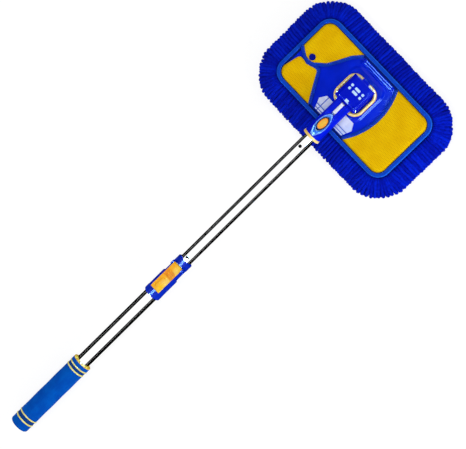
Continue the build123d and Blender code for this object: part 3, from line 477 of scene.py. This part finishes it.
def edge_places(pitch, grow, shift):
    """Root places round the pad and their outward angles, even along the outline grown outwards."""
    corner = pad_corner - root_inset
    straight = pad_half - pad_corner
    signs = np.array([(1, -1), (1, 1), (-1, 1), (-1, -1)])
    places, angles = [], []
    for quarter in range(4):
        start, end = (pad_centre + straight * signs[i] for i in (quarter, (quarter + 1) % 4))
        heading = quarter * np.pi / 2
        number = round(np.linalg.norm(end - start) / pitch)
        share = ((np.arange(number) + shift) / number)[:, None]
        places.append(start + share * (end - start))
        angles.append(np.full(number, heading))
        number = round((corner + grow) * np.pi / 2 / pitch)
        places.append(np.tile(end, (number, 1)))
        angles.append(heading + (np.arange(number) + shift) / number * np.pi / 2)
    angles = np.concatenate(angles)
    outward = np.stack([np.cos(angles), np.sin(angles)], -1)
    return np.concatenate(places) + corner * outward, angles


def summed_waves(waves, order):
    """Sines along the row of strips: each has a height, a step from strip to strip and a start."""
    return sum(height * np.sin(step * order + start) for height, step, start in waves)


def fringe_layer(pitch, shift, radius, length, lift, tip_height):
    """Centres and radii of one layer of strips. Each runs outwards by shares of its length,
    and its height is half a sine of the lift plus a power curve down to the tip."""
    roots, angles = edge_places(pitch, spacing_share * reach_rear, shift)
    number = len(roots)
    order = np.arange(number)
    away = np.where(np.cos(angles) > 0, reach_front, reach_rear) * np.cos(angles) ** 2
    away += np.where(np.sin(angles) > 0, reach_left, reach_right) * np.sin(angles) ** 2
    away *= length * (1 - corner_draw_share * np.sin(2 * angles) ** 2)
    away += summed_waves(length_waves, order) + chance.normal(0, length_scatter, number)
    slant = summed_waves(slant_waves, order) + chance.normal(0, slant_scatter, number)
    share = strip_shares
    bearing = angles[:, None] + slant[:, None] * share ** slant_power
    step = away[:, None] * np.diff(share, prepend=0)
    ways = np.stack([np.cos(bearing), np.sin(bearing)], -1) * step[:, :, None]
    flat = roots[:, None] + np.cumsum(ways, axis=1)
    wobble = strip_wobble * np.sin(wobble_step * share + chance.uniform(0, 6, (number, 1)))
    flat += wobble[:, :, None] * np.stack([-np.sin(bearing), np.cos(bearing)], -1)
    tip = tip_height + chance.normal(0, height_scatter, (number, 1))
    rise = lift * np.sin(np.pi * share ** slant_power)
    height = root_height + rise + (tip - root_height) * share ** droop_power
    swell = radius * strip_swell * chance.uniform(strip_thinnest, strip_thickest, (number, len(share)))
    return np.concatenate([flat, height[:, :, None]], -1), swell


layers = [
    fringe_layer(pitch=0.0050, shift=0.5, radius=0.0032, length=1.0, lift=0.0022, tip_height=0.0125),
    fringe_layer(pitch=0.0053, shift=0.2, radius=0.0033, length=0.985, lift=0.0, tip_height=0.0085),
    fringe_layer(pitch=0.0058, shift=0.8, radius=0.0035, length=0.95, lift=-0.001, tip_height=0.0052),
    fringe_layer(pitch=0.0062, shift=0.3, radius=0.0044, length=0.86, lift=-0.002, tip_height=0.0053),
]
routes, radii = (np.concatenate(part) for part in zip(*layers))
fringe = strands("fringe", fuzzy_blue, routes, radii, wide_way=(0, 0, 1), flatness=0.85)
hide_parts("fringe_front", "fringe_rear", "fringe_left", "fringe_right")


# Foam core and backing cloth: a soft slab with a crowned edge, cut from foam sheet, and the
# woven cloth that is stretched over it and holds it under the plate.
def pillow(name, material, border, middle_height, half_height):
    """A crowned closed slab: its section is a superellipse, carried round a border."""
    rings = 12
    side_power, face_power = 0.35, 0.6
    border = border[:-1]
    middle = border.mean(axis=0)
    turn = np.linspace(np.pi / 2, -np.pi / 2, rings)[1:-1]
    radial = (np.cos(turn) ** side_power)[:, None, None]
    rise = np.sign(np.sin(turn)) * np.abs(np.sin(turn)) ** face_power
    flat = middle + radial * (border - middle)
    heights = np.broadcast_to((middle_height + half_height * rise)[:, None, None], (*flat.shape[:2], 1))
    ends = [[*middle, middle_height + half_height], [*middle, middle_height - half_height]]
    points = np.concatenate([np.concatenate([flat, heights], -1).reshape(-1, 3), ends])
    sides = len(border)
    near = np.arange(sides)
    following = (near + 1) % sides
    top = np.stack([np.full(sides, len(points) - 2), near, following], -1)
    last = (rings - 3) * sides
    bottom = np.stack([np.full(sides, len(points) - 1), last + following, last + near], -1)
    return add_piece(name, "head", material, points, [grid_faces(rings - 2, sides)[0][:, ::-1], top, bottom])


foam = Finish("foam")
cells = foam.noise(1400.0, 2.0)
pale_foam = foam.surface(
    foam.mix(cells, colour(196, 200, 204), colour(226, 228, 230)),
    roughness=0.95,
    Normal=foam.bump(cells, 0.0004),
)
core_inset = 0.0078
core_low, core_high = (corner.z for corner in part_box("foam_core"))
core_middle, core_half = (core_low + core_high) / 2, (core_high - core_low) / 2
core = pillow("pad_core", pale_foam, pad_outline(core_inset), core_middle, core_half)
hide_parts("foam_core")
pad_sheet("backing", "pad_backing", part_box("pad_backing")[1].z, inset=0.0055)


# Edge binding: folded ribbed tape sewn over the pad's edge all round, lightly puckered,
# with a row of stitches along its inner side.
def sweep(name, material, path, profile, closed=False):
    """A profile of out and up steps carried along a level path, with its lengths as UV."""
    ahead = np.roll(path, -1, axis=0) - np.roll(path, 1, axis=0)
    if not closed:
        ahead[0], ahead[-1] = path[1] - path[0], path[-1] - path[-2]
    ahead = unit(ahead[:, :2])
    outwards = np.stack([ahead[:, 1], -ahead[:, 0], np.zeros(len(path))], -1)[:, None]
    points = path[:, None] + profile[..., 0, None] * outwards + profile[..., 1, None] * np.array([0, 0, 1])
    rings, sides = points.shape[:2]
    faces, ring, side = grid_faces(rings, sides, rings_close=closed)
    first_side = profile.reshape(-1, sides, 2)[0]
    travel = np.linalg.norm(path[1] - path[0]) * ring
    girth = np.linalg.norm(first_side[1] - first_side[0]) * side
    uv = np.stack([travel, girth], -1)
    caps = [] if closed else [np.arange(sides)[None, ::-1], (rings - 1) * sides + np.arange(sides)[None]]
    return add_piece(name, "head", material, points.reshape(-1, 3), [faces, *caps], uv)


def tape_section(half_width, half_height, power, sides):
    """A flat rounded section, as steps out and up: a superellipse."""
    turn = np.arange(sides) * 2 * np.pi / sides
    wide = np.sign(np.cos(turn)) * np.abs(np.cos(turn)) ** power
    tall = -np.sign(np.sin(turn)) * np.abs(np.sin(turn)) ** power
    return np.stack([half_width * wide, half_height * tall], -1)


def level(line, height):
    """A plan's points, all at one height."""
    return np.column_stack([line, np.full(len(line), height)])


def stitches(name, path):
    """A row of short threads along a path, with their ends drawn into the tape."""
    path = evenly(path, stitch_pitch / 2)
    ahead = unit(np.gradient(path, axis=0))[::2]
    share = np.array([-0.5, -0.35, 0.35, 0.5])
    threads = path[::2][:, None] + stitch_length * share[None, :, None] * ahead[:, None]
    threads[:, (0, 3), 2] -= thread_radius
    thickness = np.tile(thread_radius * np.array([0.5, 1, 1, 0.5]), (len(threads), 1))
    strands(name, thread_blue, threads, thickness, wide_way=(0, 0, 1), flatness=1.0)


thread = Finish("thread")
thread_tone = thread.mix(thread.noise(900.0), colour(8, 60, 190), colour(40, 110, 225))
thread_blue = thread.surface(thread_tone, roughness=0.7)
stitch_pitch = 0.0034
stitch_length = 0.0024
thread_radius = 0.00028

rib_pitch = 0.00095
ribbed = Finish("ribbed_tape", "UV")
ribs = ribbed.wave(ribbed.axis("X"), rib_pitch)
rib_tone = 0.5 * ribs + 0.5 * ribbed.patches(180.0, 0.35, 0.65)
tape_tone = ribbed.mix(rib_tone, colour(0, 54, 188), colour(2, 76, 210))
# Painted shade: the tape is dark on its under and inner side, beside the tucked-in mesh. Painted highlight:
# it is paler over its top towards its outer edge.
under_inner_shade = ribbed.step(ribbed.axis("Y"), 0.0412, 0.0385)
top_outer_highlight = ribbed.step(ribbed.axis("Y"), 0.049, 0.051)
tape_tone_with_highlight = ribbed.mix(top_outer_highlight, tape_tone, colour(20, 98, 230))
binding_blue = ribbed.surface(
    ribbed.mix(under_inner_shade, tape_tone_with_highlight, colour(2, 28, 112)),
    roughness=0.85,
    specular=0.08,
    Normal=ribbed.bump(ribs, 0.00025),
)
binding_width = 0.0072
pucker_share, pucker_step = 0.02, 2.1
ring_path = level(pad_outline(binding_width / 2)[:-1], (edge_low[2] + edge_high[2]) / 2)
section = tape_section(binding_width / 2, (edge_high[2] - edge_low[2]) / 2, power=0.55, sides=24)
swelling = np.sin(np.arange(len(ring_path)) * pucker_step)[:, None, None] * (section[:, 1:] > 0)
binding = sweep("binding", binding_blue, ring_path, section * (1 + pucker_share * swelling), closed=True)
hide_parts("edge_binding")
binding_stitch_inset = 0.0056
stitch_sink = 0.00035
stitches("binding_stitches", level(pad_outline(binding_stitch_inset), edge_high[2] - stitch_sink))


# Pockets and flap: yellow spacer mesh with small hexagonal holes, stretched over the plate
# and tucked down beside the binding. The large pocket takes the plate's right end, the
# corner pocket its left rear corner, and the flap closes over its left front corner.
def rounded_line(points, radius):
    """A polyline whose inner corners are rounded."""
    points = np.array(points)
    line = [points[:1]]
    for before, corner, after in zip(points, points[1:], points[2:]):
        back, on = unit(before - corner), unit(after - corner)
        half_angle = math.acos(np.clip(back @ on, -1, 1)) / 2
        reach = radius / math.tan(half_angle)
        centre = corner + unit(back + on) * radius / math.sin(half_angle)
        start, end = corner + reach * back - centre, corner + reach * on - centre
        sweep_angle = math.atan2(start[0] * end[1] - start[1] * end[0], start @ end)
        turn = np.linspace(0, sweep_angle, 9)[:, None]
        line.append(centre + np.cos(turn) * start + np.sin(turn) * np.array([-start[1], start[0]]))
    return evenly(np.concatenate([*line, points[-1:]]), spacing=0.0015)


def on_pad(shares):
    """Points given as shares of the pad's half width and half length."""
    return np.array(shares) * pad_half + pad_centre


def tucked(line):
    """The stretch of a line that lies inside the pad's outline, up to where cloth is tucked in."""
    return line[rounded_distance(line, tuck_inset) > 0]


def closed_by_edge(free_edge):
    """A border: the free edge, and the pad's outline from its end on to its start, anticlockwise."""
    outline = pad_outline(tuck_inset, spacing=0.002)[:-1]
    first = np.argmin(np.linalg.norm(outline - free_edge[-1], axis=1))
    last = np.argmin(np.linalg.norm(outline - free_edge[0], axis=1))
    way = np.arange(first, last + (len(outline) if last < first else 0)) % len(outline)
    return evenly(np.concatenate([free_edge, outline[way], free_edge[:1]]), spacing=0.0025)


def stretched(name, node, free_edge, seed):
    """A mesh panel: level over the plate, down beside the binding, and a little uneven."""
    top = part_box(node)[1].z

    def height(at):
        edge = np.clip(rounded_distance(at, tuck_inset) / tuck_width, 0, 1)
        ripple = ripple_height * np.prod(np.sin(at * ripple_paces + (seed, 2 * seed)), axis=1)
        return top - tuck_drop * (1 - edge) ** 2 + ripple * edge

    border = closed_by_edge(free_edge)
    sheet = panel(name, mesh_yellow, border, height, thickness=0.001)
    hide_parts(node)


spacer = Finish("spacer_mesh")
hole_spacing = 0.0024 * math.sqrt(0.75)
hole_turns = (0, math.pi / 3, -math.pi / 3)
hole_ways = [spacer.axis("X") * math.cos(turn) + spacer.axis("Y") * math.sin(turn) for turn in hole_turns]
hole_with_shade = spacer.step(sum(spacer.wave(way, hole_spacing) for way in hole_ways), 1.9, 2.5)
knit = spacer.noise(1500.0, 2.0)
yarn = spacer.mix(spacer.patches(45.0), colour(236, 187, 0), colour(246, 204, 4))
knitted_yarn = spacer.mix(knit * 0.35, yarn, colour(216, 162, 0))
# Painted shade: the holes are painted a darker yellow.
mesh_yellow = spacer.surface(
    spacer.mix(hole_with_shade, knitted_yarn, colour(194, 138, 0)),
    roughness=0.8,
    specular=0.01,
    Normal=spacer.bump(1.4 * (1 - hole_with_shade) + knit * 0.4, 0.00035),
)

tuck_inset = 0.0072
tuck_width = 0.0055
tuck_drop = 0.0022
ripple_height = 0.00022
ripple_paces = (95, 70)
mouth_radius = 0.103
mouth_centre = np.array([0.0046, 0.0517])
mouth_turn = np.linspace(math.radians(340), math.radians(200), 120)[:, None]
mouth = tucked(mouth_centre + mouth_radius * np.hstack([np.cos(mouth_turn), np.sin(mouth_turn)]))
stretched("large_mesh", "large_pocket", mouth, seed=1.0)

corner_shares = (
    (-1.05, 0.3), (-0.154, 0.586), (-0.248, 0.755),
    (-0.207, 0.873), (-0.37, 0.896), (-0.9, 0.965),
)
corner_radius = 0.005
corner_line = tucked(rounded_line(on_pad(corner_shares), corner_radius))
stretched("corner_mesh", "corner_pocket", corner_line, seed=2.0)

flap_shares = (
    (0.95, 0.268), (0.909, 0.285), (0.661, 0.399), (0.301, 0.498),
    (0.102, 0.557), (-0.135, 0.696), (-0.147, 0.803), (0.063, 0.99),
)
flap_radius = 0.012
flap_line = tucked(rounded_line(on_pad(flap_shares), flap_radius))[::-1]
stretched("flap_mesh", "snap_flap", flap_line, seed=3.0)


# Tapes: dark blue twill folded flat and sewn along the free edges of the pockets and the
# flap, each with a row of stitches beside the mesh.
def edge_tape(name, node, line):
    """A flat tape beside a free edge, on the side away from the mesh."""
    low, high = (corner.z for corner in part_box(node))
    path = level(line, (low + high) / 2)
    section = tape_section(tape_width / 2, (high - low) / 2, power=0.45, sides=16)
    tape = sweep(name, tape_blue, path, section + (tape_width / 2 - tape_overlap, 0))
    sewn = evenly(path, stitch_pitch / 2)
    ahead = unit(np.gradient(sewn[:, :2], axis=0))
    sewn[:, :2] += stitch_offset * np.stack([ahead[:, 1], -ahead[:, 0]], -1)
    sewn[:, 2] = high - tape_stitch_sink
    stitches(name + "_stitches", sewn)
    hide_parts(node)


tape_width = 0.0054
tape_overlap = 0.0006
stitch_offset = 0.0008
tape_stitch_sink = 0.00012
twill = Finish("twill", "UV")
diagonal = twill.wave(twill.axis("X") + twill.axis("Y"), 0.0009)
worn = twill.patches(120.0, 0.35, 0.65)
tape_blue = twill.surface(
    twill.mix(0.6 * diagonal + 0.3 * worn, colour(0, 30, 150), colour(4, 62, 204)),
    roughness=0.8,
    specular=0.08,
    Normal=twill.bump(diagonal, 0.0002),
)
edge_tape("mouth_tape", "pocket_tape", mouth)
edge_tape("flap_edge", "flap_tape", flap_line)
corner_edge = tucked(rounded_line(on_pad(corner_shares[:3]), corner_radius))
edge_tape("corner_edge", "corner_tape", corner_edge)


# Base plate: glossy moulded plate with a domed seat for the swivel, held in the pockets.
# Its front ridge is a pair of ribs whose tops fall towards the front.
def moulded(name, base, rough, specular):
    """Moulded plastic: a base colour that clouds a little, and fine grain on its gloss."""
    finish = Finish(name)
    cloudy = finish.patches(38.0, 0.35, 0.65)
    fine = finish.noise(1100.0, 2.0)
    darker = (*(0.84 * share for share in base[:3]), 1.0)
    return finish.surface(
        finish.mix(0.8 * cloudy + 0.2 * fine, darker, base),
        roughness=rough + 0.1 * (finish.noise(160.0) - 0.5),
        specular=specular,
        Normal=finish.bump(fine, 0.00002),
    )


def rib(name, foot, half_length, half_width, height):
    """A straight rib across the plate. Its height is a profile that falls to the front, times
    a square root that rounds its ends, and its walls go down into the plate."""
    depth = 0.0024
    end_share = 0.08
    rows = np.concatenate([[-1, -0.96, -0.9], np.linspace(-0.85, 0.85, 14), [0.9, 0.96, 1]])
    columns = np.array([-1, -0.96, -0.8, -0.4, 0, 0.4, 0.8, 0.96, 1])
    rise = np.array([0, 0.75, 1.15, 1.1, 0.98, 0.86, 0.74, 0.5, 0])
    ends = np.sqrt(np.clip((1 - np.abs(rows)) / end_share, 0, 1))
    x = foot[0] + half_width * columns[None] * np.ones((len(rows), 1))
    y = foot[1] + half_length * rows[:, None] * np.ones((1, len(columns)))
    z = foot[2] + height * rise[None] * ends[:, None]
    points = np.stack([x, y, z], -1).reshape(-1, 3)
    under = points.copy()
    under[:, 2] = foot[2] - depth
    sheet = grid_faces(len(rows), len(columns), sides_close=False)[0]
    size = len(rows) * len(columns)
    rim = np.concatenate([
        np.arange(len(columns)),
        np.arange(2, len(rows)) * len(columns) - 1,
        np.arange(size - 1, size - 1 - len(columns), -1),
        np.arange(len(rows) - 2, 0, -1) * len(columns),
    ])
    after = np.roll(rim, -1)
    wall = np.stack([rim, rim + size, after + size, after], -1)
    faces = [sheet[:, ::-1], sheet + size, wall[:, ::-1]]
    add_piece(name, "head", plate_blue, np.concatenate([points, under]), faces)


def dress(material, *names):
    """Gives CAD nodes a material in their own slots."""
    for name in names:
        for slot in nodes[name].material_slots:
            slot.material = material


plate_blue = moulded("plate_blue", colour(0, 36, 224), 0.13, 0.16)
dress(plate_blue, "base_plate", "snap_stud")
plate_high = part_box("base_plate")[1]
ridge_inset, ridge_shift, ridge_sink = 0.0032, 0.0019, 0.0006
rib_step = 0.00185
for name, step in (("front_rib", rib_step), ("rear_rib", -rib_step)):
    foot = (plate_high.x - ridge_inset + step, -ridge_shift, plate_high.z - ridge_sink)
    rib(name, foot, half_length=0.0298, half_width=0.00155, height=0.0009)


# Snap cap: a domed plastic cap pressed through the flap, which snaps on the stud of the
# corner pocket.
dress(moulded("snap_blue", colour(0, 4, 130), 0.3, 0.05), "snap_cap")


# Foot pads: two ribbed fans let into the plate below the neck, with two grooves across them
# and one that runs along the left fan. Their pale colour is a painted reflection, broken by
# bluer lines at the grooves.
cross_grooves = (-0.0436, -0.0485)
long_groove = 0.0242
fan = Finish("fan_plastic")
first_cross, second_cross = ((fan.axis("X") - place).maths("ABSOLUTE") for place in cross_grooves)
from_groove = first_cross.smaller(second_cross).smaller((fan.axis("Y") - long_groove).maths("ABSOLUTE"))
fan_lines = fan.step(from_groove, 0.0009, 0.0004)
fan_cloud = fan.patches(60.0)
# Painted reflection: the pads' pale colour, with bluer lines at the grooves.
painted_reflection_tone = fan.mix(fan_cloud, colour(196, 204, 240), colour(230, 230, 248))
fan_reflection = fan.surface(
    fan.mix(fan_lines, painted_reflection_tone, colour(70, 100, 205)),
    roughness=0.3,
    specular=0.3,
    Normal=fan.bump(1 - fan_lines, 0.0003),
)
dress(fan_reflection, "foot_pads")


# Loop: a golden frame of round section, moulded in one piece and let into the dome round
# the swivel. It has a painted highlight on top and painted shade, darker orange, at its foot.
loop_low, loop_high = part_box("seat_loop")
loop_middle = np.array(loop_low + loop_high) / 2
wire = (loop_high.z - loop_low.z) / 2
loop_half = np.array(loop_high - loop_low)[:2] / 2 - wire
front_corner, rear_corner = 0.0125, 0.014
golden = Finish("golden")
# Painted highlight and shade: paler above the wire's middle, darker orange at its foot.
painted_top_light = golden.step(golden.axis("Z"), loop_middle[2] + 0.0004, loop_middle[2] + 0.0022)
gold_cloud = golden.mix(golden.noise(90.0), colour(252, 204, 84), colour(255, 232, 140))
gold = golden.surface(
    golden.mix(painted_top_light, colour(206, 116, 10), gold_cloud),
    roughness=0.28,
    specular=0.6,
    Normal=golden.bump(golden.noise(900.0), 0.00002),
)
arcs = corner_arcs(loop_middle[:2], loop_half, (rear_corner, front_corner, front_corner, rear_corner))
loop_line = evenly(np.concatenate([*arcs, arcs[0][:1]]), spacing=0.0015)[:-1]
wire_section = tape_section(wire, wire, power=0.8, sides=20)
loop = sweep("loop", gold, level(loop_line, loop_middle[2]), wire_section, closed=True)
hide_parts("seat_loop")


# Swivel: the seat with its two lugs, screwed into the plate's dome, and the block that
# rolls on a pin between them, with six pads pressed in. The pads' pale colour is a painted reflection.
block_blue = moulded("block_blue", colour(0, 18, 205), 0.15, 0.1)
dress(block_blue, "swivel_block", "swivel_seat")
# Painted reflection: the pads' pale colour.
dress(moulded("pad_reflection", colour(196, 222, 250), 0.25, 0.5), "block_pads")


# Neck: moulded housing that pitches on the hinge pin, the brake bar along its top, and the
# golden ring pressed on its end. The bar's pale colour is a painted highlight.
dress(moulded("neck_blue", colour(0, 24, 224), 0.3, 0.04), "neck_housing")
# Painted highlight: the brake bar is pale along its length.
dress(moulded("bar_highlight", colour(232, 234, 252), 0.3, 0.4), "brake_bar")
ring = Finish("ring_gold")
ring_cloud = ring.patches(55.0, 0.35, 0.65)
ring_gold = ring.surface(
    ring.mix(ring_cloud, colour(240, 184, 48), colour(255, 226, 140)),
    roughness=0.3,
    specular=0.5,
    Normal=ring.bump(ring.noise(900.0), 0.00002),
)
dress(ring_gold, "neck_ring")


# Bezel: a leaf-shaped moulded trim with a rolled rim, clipped into the neck's top round the
# release button. The rim has a painted highlight along its crest and painted shade on its
# inner edge, down into the gap round the button.
pin_low, pin_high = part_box("hinge_pin")
pin_centre = np.array(pin_low + pin_high) / 2
pole_drop = math.radians(3.3173)
down_pole = np.array([-math.cos(pole_drop), 0, -math.sin(pole_drop)])
above_pole = np.array([-math.sin(pole_drop), 0, math.cos(pole_drop)])


def on_pole(along, side, height):
    """Points at a distance down the pole from the hinge pin, to its left side and above its axis."""
    along, side, height = (np.asarray(part)[..., None] for part in np.broadcast_arrays(along, side, height))
    return pin_centre + along * down_pole + side * np.array([0, 1, 0]) + height * above_pole


def neck_top(along, side):
    """Height of the neck's upper face: a flat that rises into the full round."""
    past_start = (along - flat_start) / (flat_end - flat_start) * (along > flat_start)
    return np.minimum(flat_height + flat_rise * past_start, np.sqrt(neck_radius ** 2 - side ** 2))


flat_start, flat_end = 0.0277, 0.0587
flat_height, flat_rise = 0.0092, 0.0043
neck_radius = 0.0135
leaf_along = np.array([26.3, 26.6, 28.3, 32.5, 37, 41.5, 45.8, 50.5, 57.6, 61, 63.6, 66.6, 68.1, 68.3]) / 1000
leaf_half = np.array([0, 1.4, 2.9, 5.4, 7.3, 8.4, 8.8, 8.8, 8.0, 6.6, 5.1, 3.9, 3.2, 0]) / 1000
button_along, button_long, button_wide = 0.046, 0.0113, 0.0063
spread = np.linspace(0, 1, 60)
knots = np.linspace(0, 1, len(leaf_along))
left = np.stack([np.interp(spread, knots, part) for part in (leaf_along, leaf_half)], -1)
leaf = evenly(np.concatenate([left, left[-2::-1] * (1, -1)]), spacing=0.0011)[:-1]
facing = np.arctan2(leaf[:, 1] / button_wide, (leaf[:, 0] - button_along) / button_long)
oval = np.stack([button_along + button_long * np.cos(facing), button_wide * np.sin(facing)], -1)
rim_shares = np.array([0, 0, 0.04, 0.12, 0.24, 0.34, 0.42, 0.72, 0.82, 1, 1])[:, None]
rim_heights = np.array([-0.8, 0.5, 1.0, 1.25, 1.1, 0.7, 0.4, 0.35, 0.3, 0, -2])[:, None] / 1000
# Painted highlight: the share of pale colour at each step across the rim, highest on its crest.
rim_highlight_shares = np.array([0, 0.5, 1, 1, 1, 0.6, 0.1, 0, 0, 0, 0])[:, None]
gap_share = 0.8
plan = leaf[None] + rim_shares[..., None] * (oval - leaf)[None]
rolled = on_pole(plan[..., 0], plan[..., 1], neck_top(plan[..., 0], plan[..., 1]) + rim_heights)
rim_highlight_share = np.broadcast_to(rim_highlight_shares, plan.shape[:2])
# Painted shade: the inner edge past the gap share, down into the gap round the button, is dark.
sunk_tone = np.broadcast_to(rim_shares > gap_share, plan.shape[:2])
trim = Finish("bezel")
inner_blue = trim.mix(trim.noise(120.0), colour(18, 84, 214), colour(34, 118, 236))
# Painted highlight on the rim's crest, and painted shade on its inner edge by the gap.
rim_highlight_tone = trim.mix(trim.attribute("rim"), inner_blue, colour(112, 160, 250))
bezel_blue = trim.surface(
    trim.mix(trim.attribute("sunk"), rim_highlight_tone, colour(6, 26, 80)),
    roughness=0.22,
    specular=0.5,
    Normal=trim.bump(trim.noise(900.0), 0.00002),
)
bezel_faces = grid_faces(*plan.shape[:2])[0][:, ::-1]
rolled = rolled.reshape(-1, 3)
bezel = add_piece("bezel", "neck", bezel_blue, rolled, [bezel_faces], rim=rim_highlight_share, sunk=sunk_tone)
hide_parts("button_bezel")


# Release button: a soft-touch oval that is pressed down in the bezel, where its wedge draws
# the brake bar back. It is orange, with a painted highlight that makes its middle paler and
# yellower, and painted shade round its edge by the gap in the bezel.
button = Finish("button")
warmth = button.patches(130.0)
lengthwise = (button.axis("X") - float(on_pole(button_along, 0, 0)[0])) / button_long
crosswise = button.axis("Y") / button_wide
from_middle = lengthwise * lengthwise + crosswise * crosswise
# Painted highlight: the middle is paler and yellower.
middle = button.step(from_middle, 0.5, 0.12)
# Painted shade: a dark band round the edge, by the gap in the bezel.
edge_shade = button.step(from_middle, 0.66, 0.78)
highlit_orange = button.mix(0.3 * warmth + 0.7 * middle, colour(248, 146, 0), colour(236, 186, 36))
button_orange = button.surface(
    button.mix(edge_shade, highlit_orange, colour(8, 26, 84)),
    roughness=0.45,
    specular=0.08,
    Normal=button.bump(button.noise(1200.0, 2.0), 0.00005),
)
dress(button_orange, "release_button")


# Tubes, pins, screws and spring: bright steel, with fine lines along the drawn tubes; the
# snap pin and the stop rivet are dark.
steel = Finish("steel")
drawn = steel.noise(500.0, 2.0, (0.02, 1, 1))
bright = steel.surface(
    steel.mix(drawn, (0.88, 0.88, 0.89, 1), (0.97, 0.97, 0.97, 1)),
    roughness=0.02 + 0.02 * drawn,
    Metallic=1.0,
)
dress(bright, "inner_tube", "outer_tube", "roll_pin", "hinge_pin", "seat_screws")
dress(bright, "lever_pin", "clamp_rivet", "brake_spring")
dark = Finish("dark_steel")
scuffs = dark.patches(420.0, 0.5, 0.7)
dark_steel = dark.surface(
    dark.mix(scuffs, colour(12, 12, 16), colour(74, 74, 80)),
    roughness=0.9,
    specular=0.0,
    Normal=dark.bump(scuffs, 0.0001),
)
dress(dark_steel, "snap_pin", "stop_rivet")


# Clamp: split moulded body with two collars, riveted to the outer tube, and a yellow cam
# lever with a thumb rest. The lever has a painted highlight on its right side and painted
# shade across the thumb rest. The bush, cap and shoe inside the pole are white nylon.
dress(moulded("clamp_blue", colour(0, 40, 190), 0.2, 0.16), "clamp_body")
thumb_rest_x = -0.3758
lever = Finish("lever")
lever_cloud = lever.patches(70.0)
# Painted highlight: the lever's right side is paler.
right_highlight = lever.step(lever.axis("Y"), 0.004, -0.004)
highlit_right_tone = lever.mix(lever_cloud, colour(250, 196, 14), colour(244, 204, 96))
highlit_lever_tone = lever.mix(right_highlight, colour(246, 172, 0), highlit_right_tone)
# Painted shade: a darker band across the thumb rest.
thumb_rest_shade = lever.step((lever.axis("X") - thumb_rest_x).maths("ABSOLUTE"), 0.0068, 0.0052)
lever_yellow = lever.surface(
    lever.mix(0.85 * thumb_rest_shade, highlit_lever_tone, colour(234, 146, 0)),
    roughness=0.5,
    specular=0.02,
    Normal=lever.bump(lever.noise(1200.0, 2.0), 0.00003),
)
dress(lever_yellow, "clamp_lever")
dress(moulded("nylon", colour(226, 226, 222), 0.5, 0.3), "guide_bush", "butt_cap", "pressure_shoe")


# Foam grip: a soft sleeve pushed on the outer tube, pinched where thin yellow rings sit,
# with a darker band between each pair of rings. A moulded collar closes its upper end.
def lathe(name, material, along, radius, closed=False, **attributes):
    """A profile spun round the pole's axis, with its length and girth as UV."""
    sides = 72
    spin = np.arange(sides) * 2 * np.pi / sides
    along, radius = np.asarray(along)[:, None], np.asarray(radius)[:, None]
    points = on_pole(along, -radius * np.sin(spin), radius * np.cos(spin))
    faces, ring_number, side_number = grid_faces(len(along), sides, rings_close=closed)
    lengths = np.concatenate([[0], np.cumsum(np.abs(np.diff(along[:, 0])) + np.abs(np.diff(radius[:, 0])))])
    lengths = np.append(lengths, lengths[-1])
    spread = np.stack([lengths[ring_number], side_number * 2 * np.pi / sides * radius.max()], -1)
    spun = {label: np.repeat(np.asarray(values), sides) for label, values in attributes.items()}
    return add_piece(name, "pole", material, points.reshape(-1, 3), [faces], spread, **spun)


grip_start, grip_end, grip_radius, bore_radius = 0.5587, 0.6983, 0.0155, 0.011
butt_round = 0.0045
lip = 0.002
collar_step = 0.0006
pinch_depth, pinch_width = 0.0011, 0.0011
band_depth, band_edge = 0.0004, 0.0003
swell_height, swell_pace = 0.00012, 160
ring_reach = 0.003
ring_places = grip_end - np.array([0.0144, 0.0229, 0.1252, 0.1323])
near_rings = [place + np.linspace(-ring_reach, ring_reach, 25) for place in ring_places]
stops = np.unique(np.concatenate([np.linspace(grip_start, grip_end - butt_round, 260), *near_rings]))
pinch = sum(np.exp(-((stops - place) / pinch_width) ** 2) for place in ring_places)
band = np.zeros_like(stops)
for last, first in ring_places.reshape(2, 2):
    band += 1 / (1 + np.exp((first - stops) / band_edge)) / (1 + np.exp((stops - last) / band_edge))
swell = swell_height * np.sin(stops * swell_pace)
body_radius = grip_radius - pinch_depth * pinch - band_depth * band + swell
bend = np.linspace(0, np.pi / 2, 12)[1:]
butt_along = grip_end - butt_round + butt_round * np.sin(bend)
butt_radius = grip_radius - butt_round + butt_round * np.cos(bend)
upper_end = [grip_end - lip, grip_start, grip_start]
profile_along = np.concatenate([upper_end, stops, butt_along, [grip_end, grip_end - lip]])
upper_radius = [bore_radius, bore_radius, grip_radius - collar_step]
profile_radius = np.concatenate([upper_radius, body_radius, butt_radius, [bore_radius] * 2])
profile_band = np.concatenate([[0] * len(upper_end), band, np.zeros(len(bend) + 2)])
sponge = Finish("sponge", "UV")
pores = sponge.noise(1300.0, 3.0)
rubbed = sponge.patches(55.0)
sponge_blue = sponge.mix(rubbed, colour(0, 76, 180), colour(0, 90, 194))
sponge_tone = sponge.mix(0.25 * pores, sponge_blue, colour(0, 40, 120))
grip_blue = sponge.surface(
    sponge.mix(sponge.attribute("band"), sponge_tone, colour(12, 60, 134)),
    roughness=0.92,
    specular=0.03,
    Normal=sponge.bump(pores + 0.5 * rubbed, 0.0004, 0.7),
)
grip = lathe("grip", grip_blue, profile_along, profile_radius, band=profile_band)
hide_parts("foam_grip")

rubber = Finish("ring_rubber")
ring_wear = rubber.patches(210.0, 0.3, 0.75)
pale_yellow = rubber.surface(
    rubber.mix(ring_wear, colour(222, 206, 92), colour(250, 240, 160)),
    roughness=0.5,
    specular=0.3,
    Normal=rubber.bump(rubber.noise(1000.0), 0.00006),
)
bead_half = 0.00125
bead_sink = 0.0007
around = np.linspace(0, 2 * np.pi, 17)[:-1]
bead_radius = grip_radius - bead_sink + bead_half * np.sin(around)
for number, place in enumerate(ring_places, 1):
    bead_along = place + bead_half * np.cos(around)
    bead = lathe(f"grip_ring_{number}", pale_yellow, bead_along, bead_radius, closed=True)
    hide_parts("grip_rings")
dress(moulded("collar_yellow", colour(250, 206, 70), 0.4, 0.2), "grip_collar")
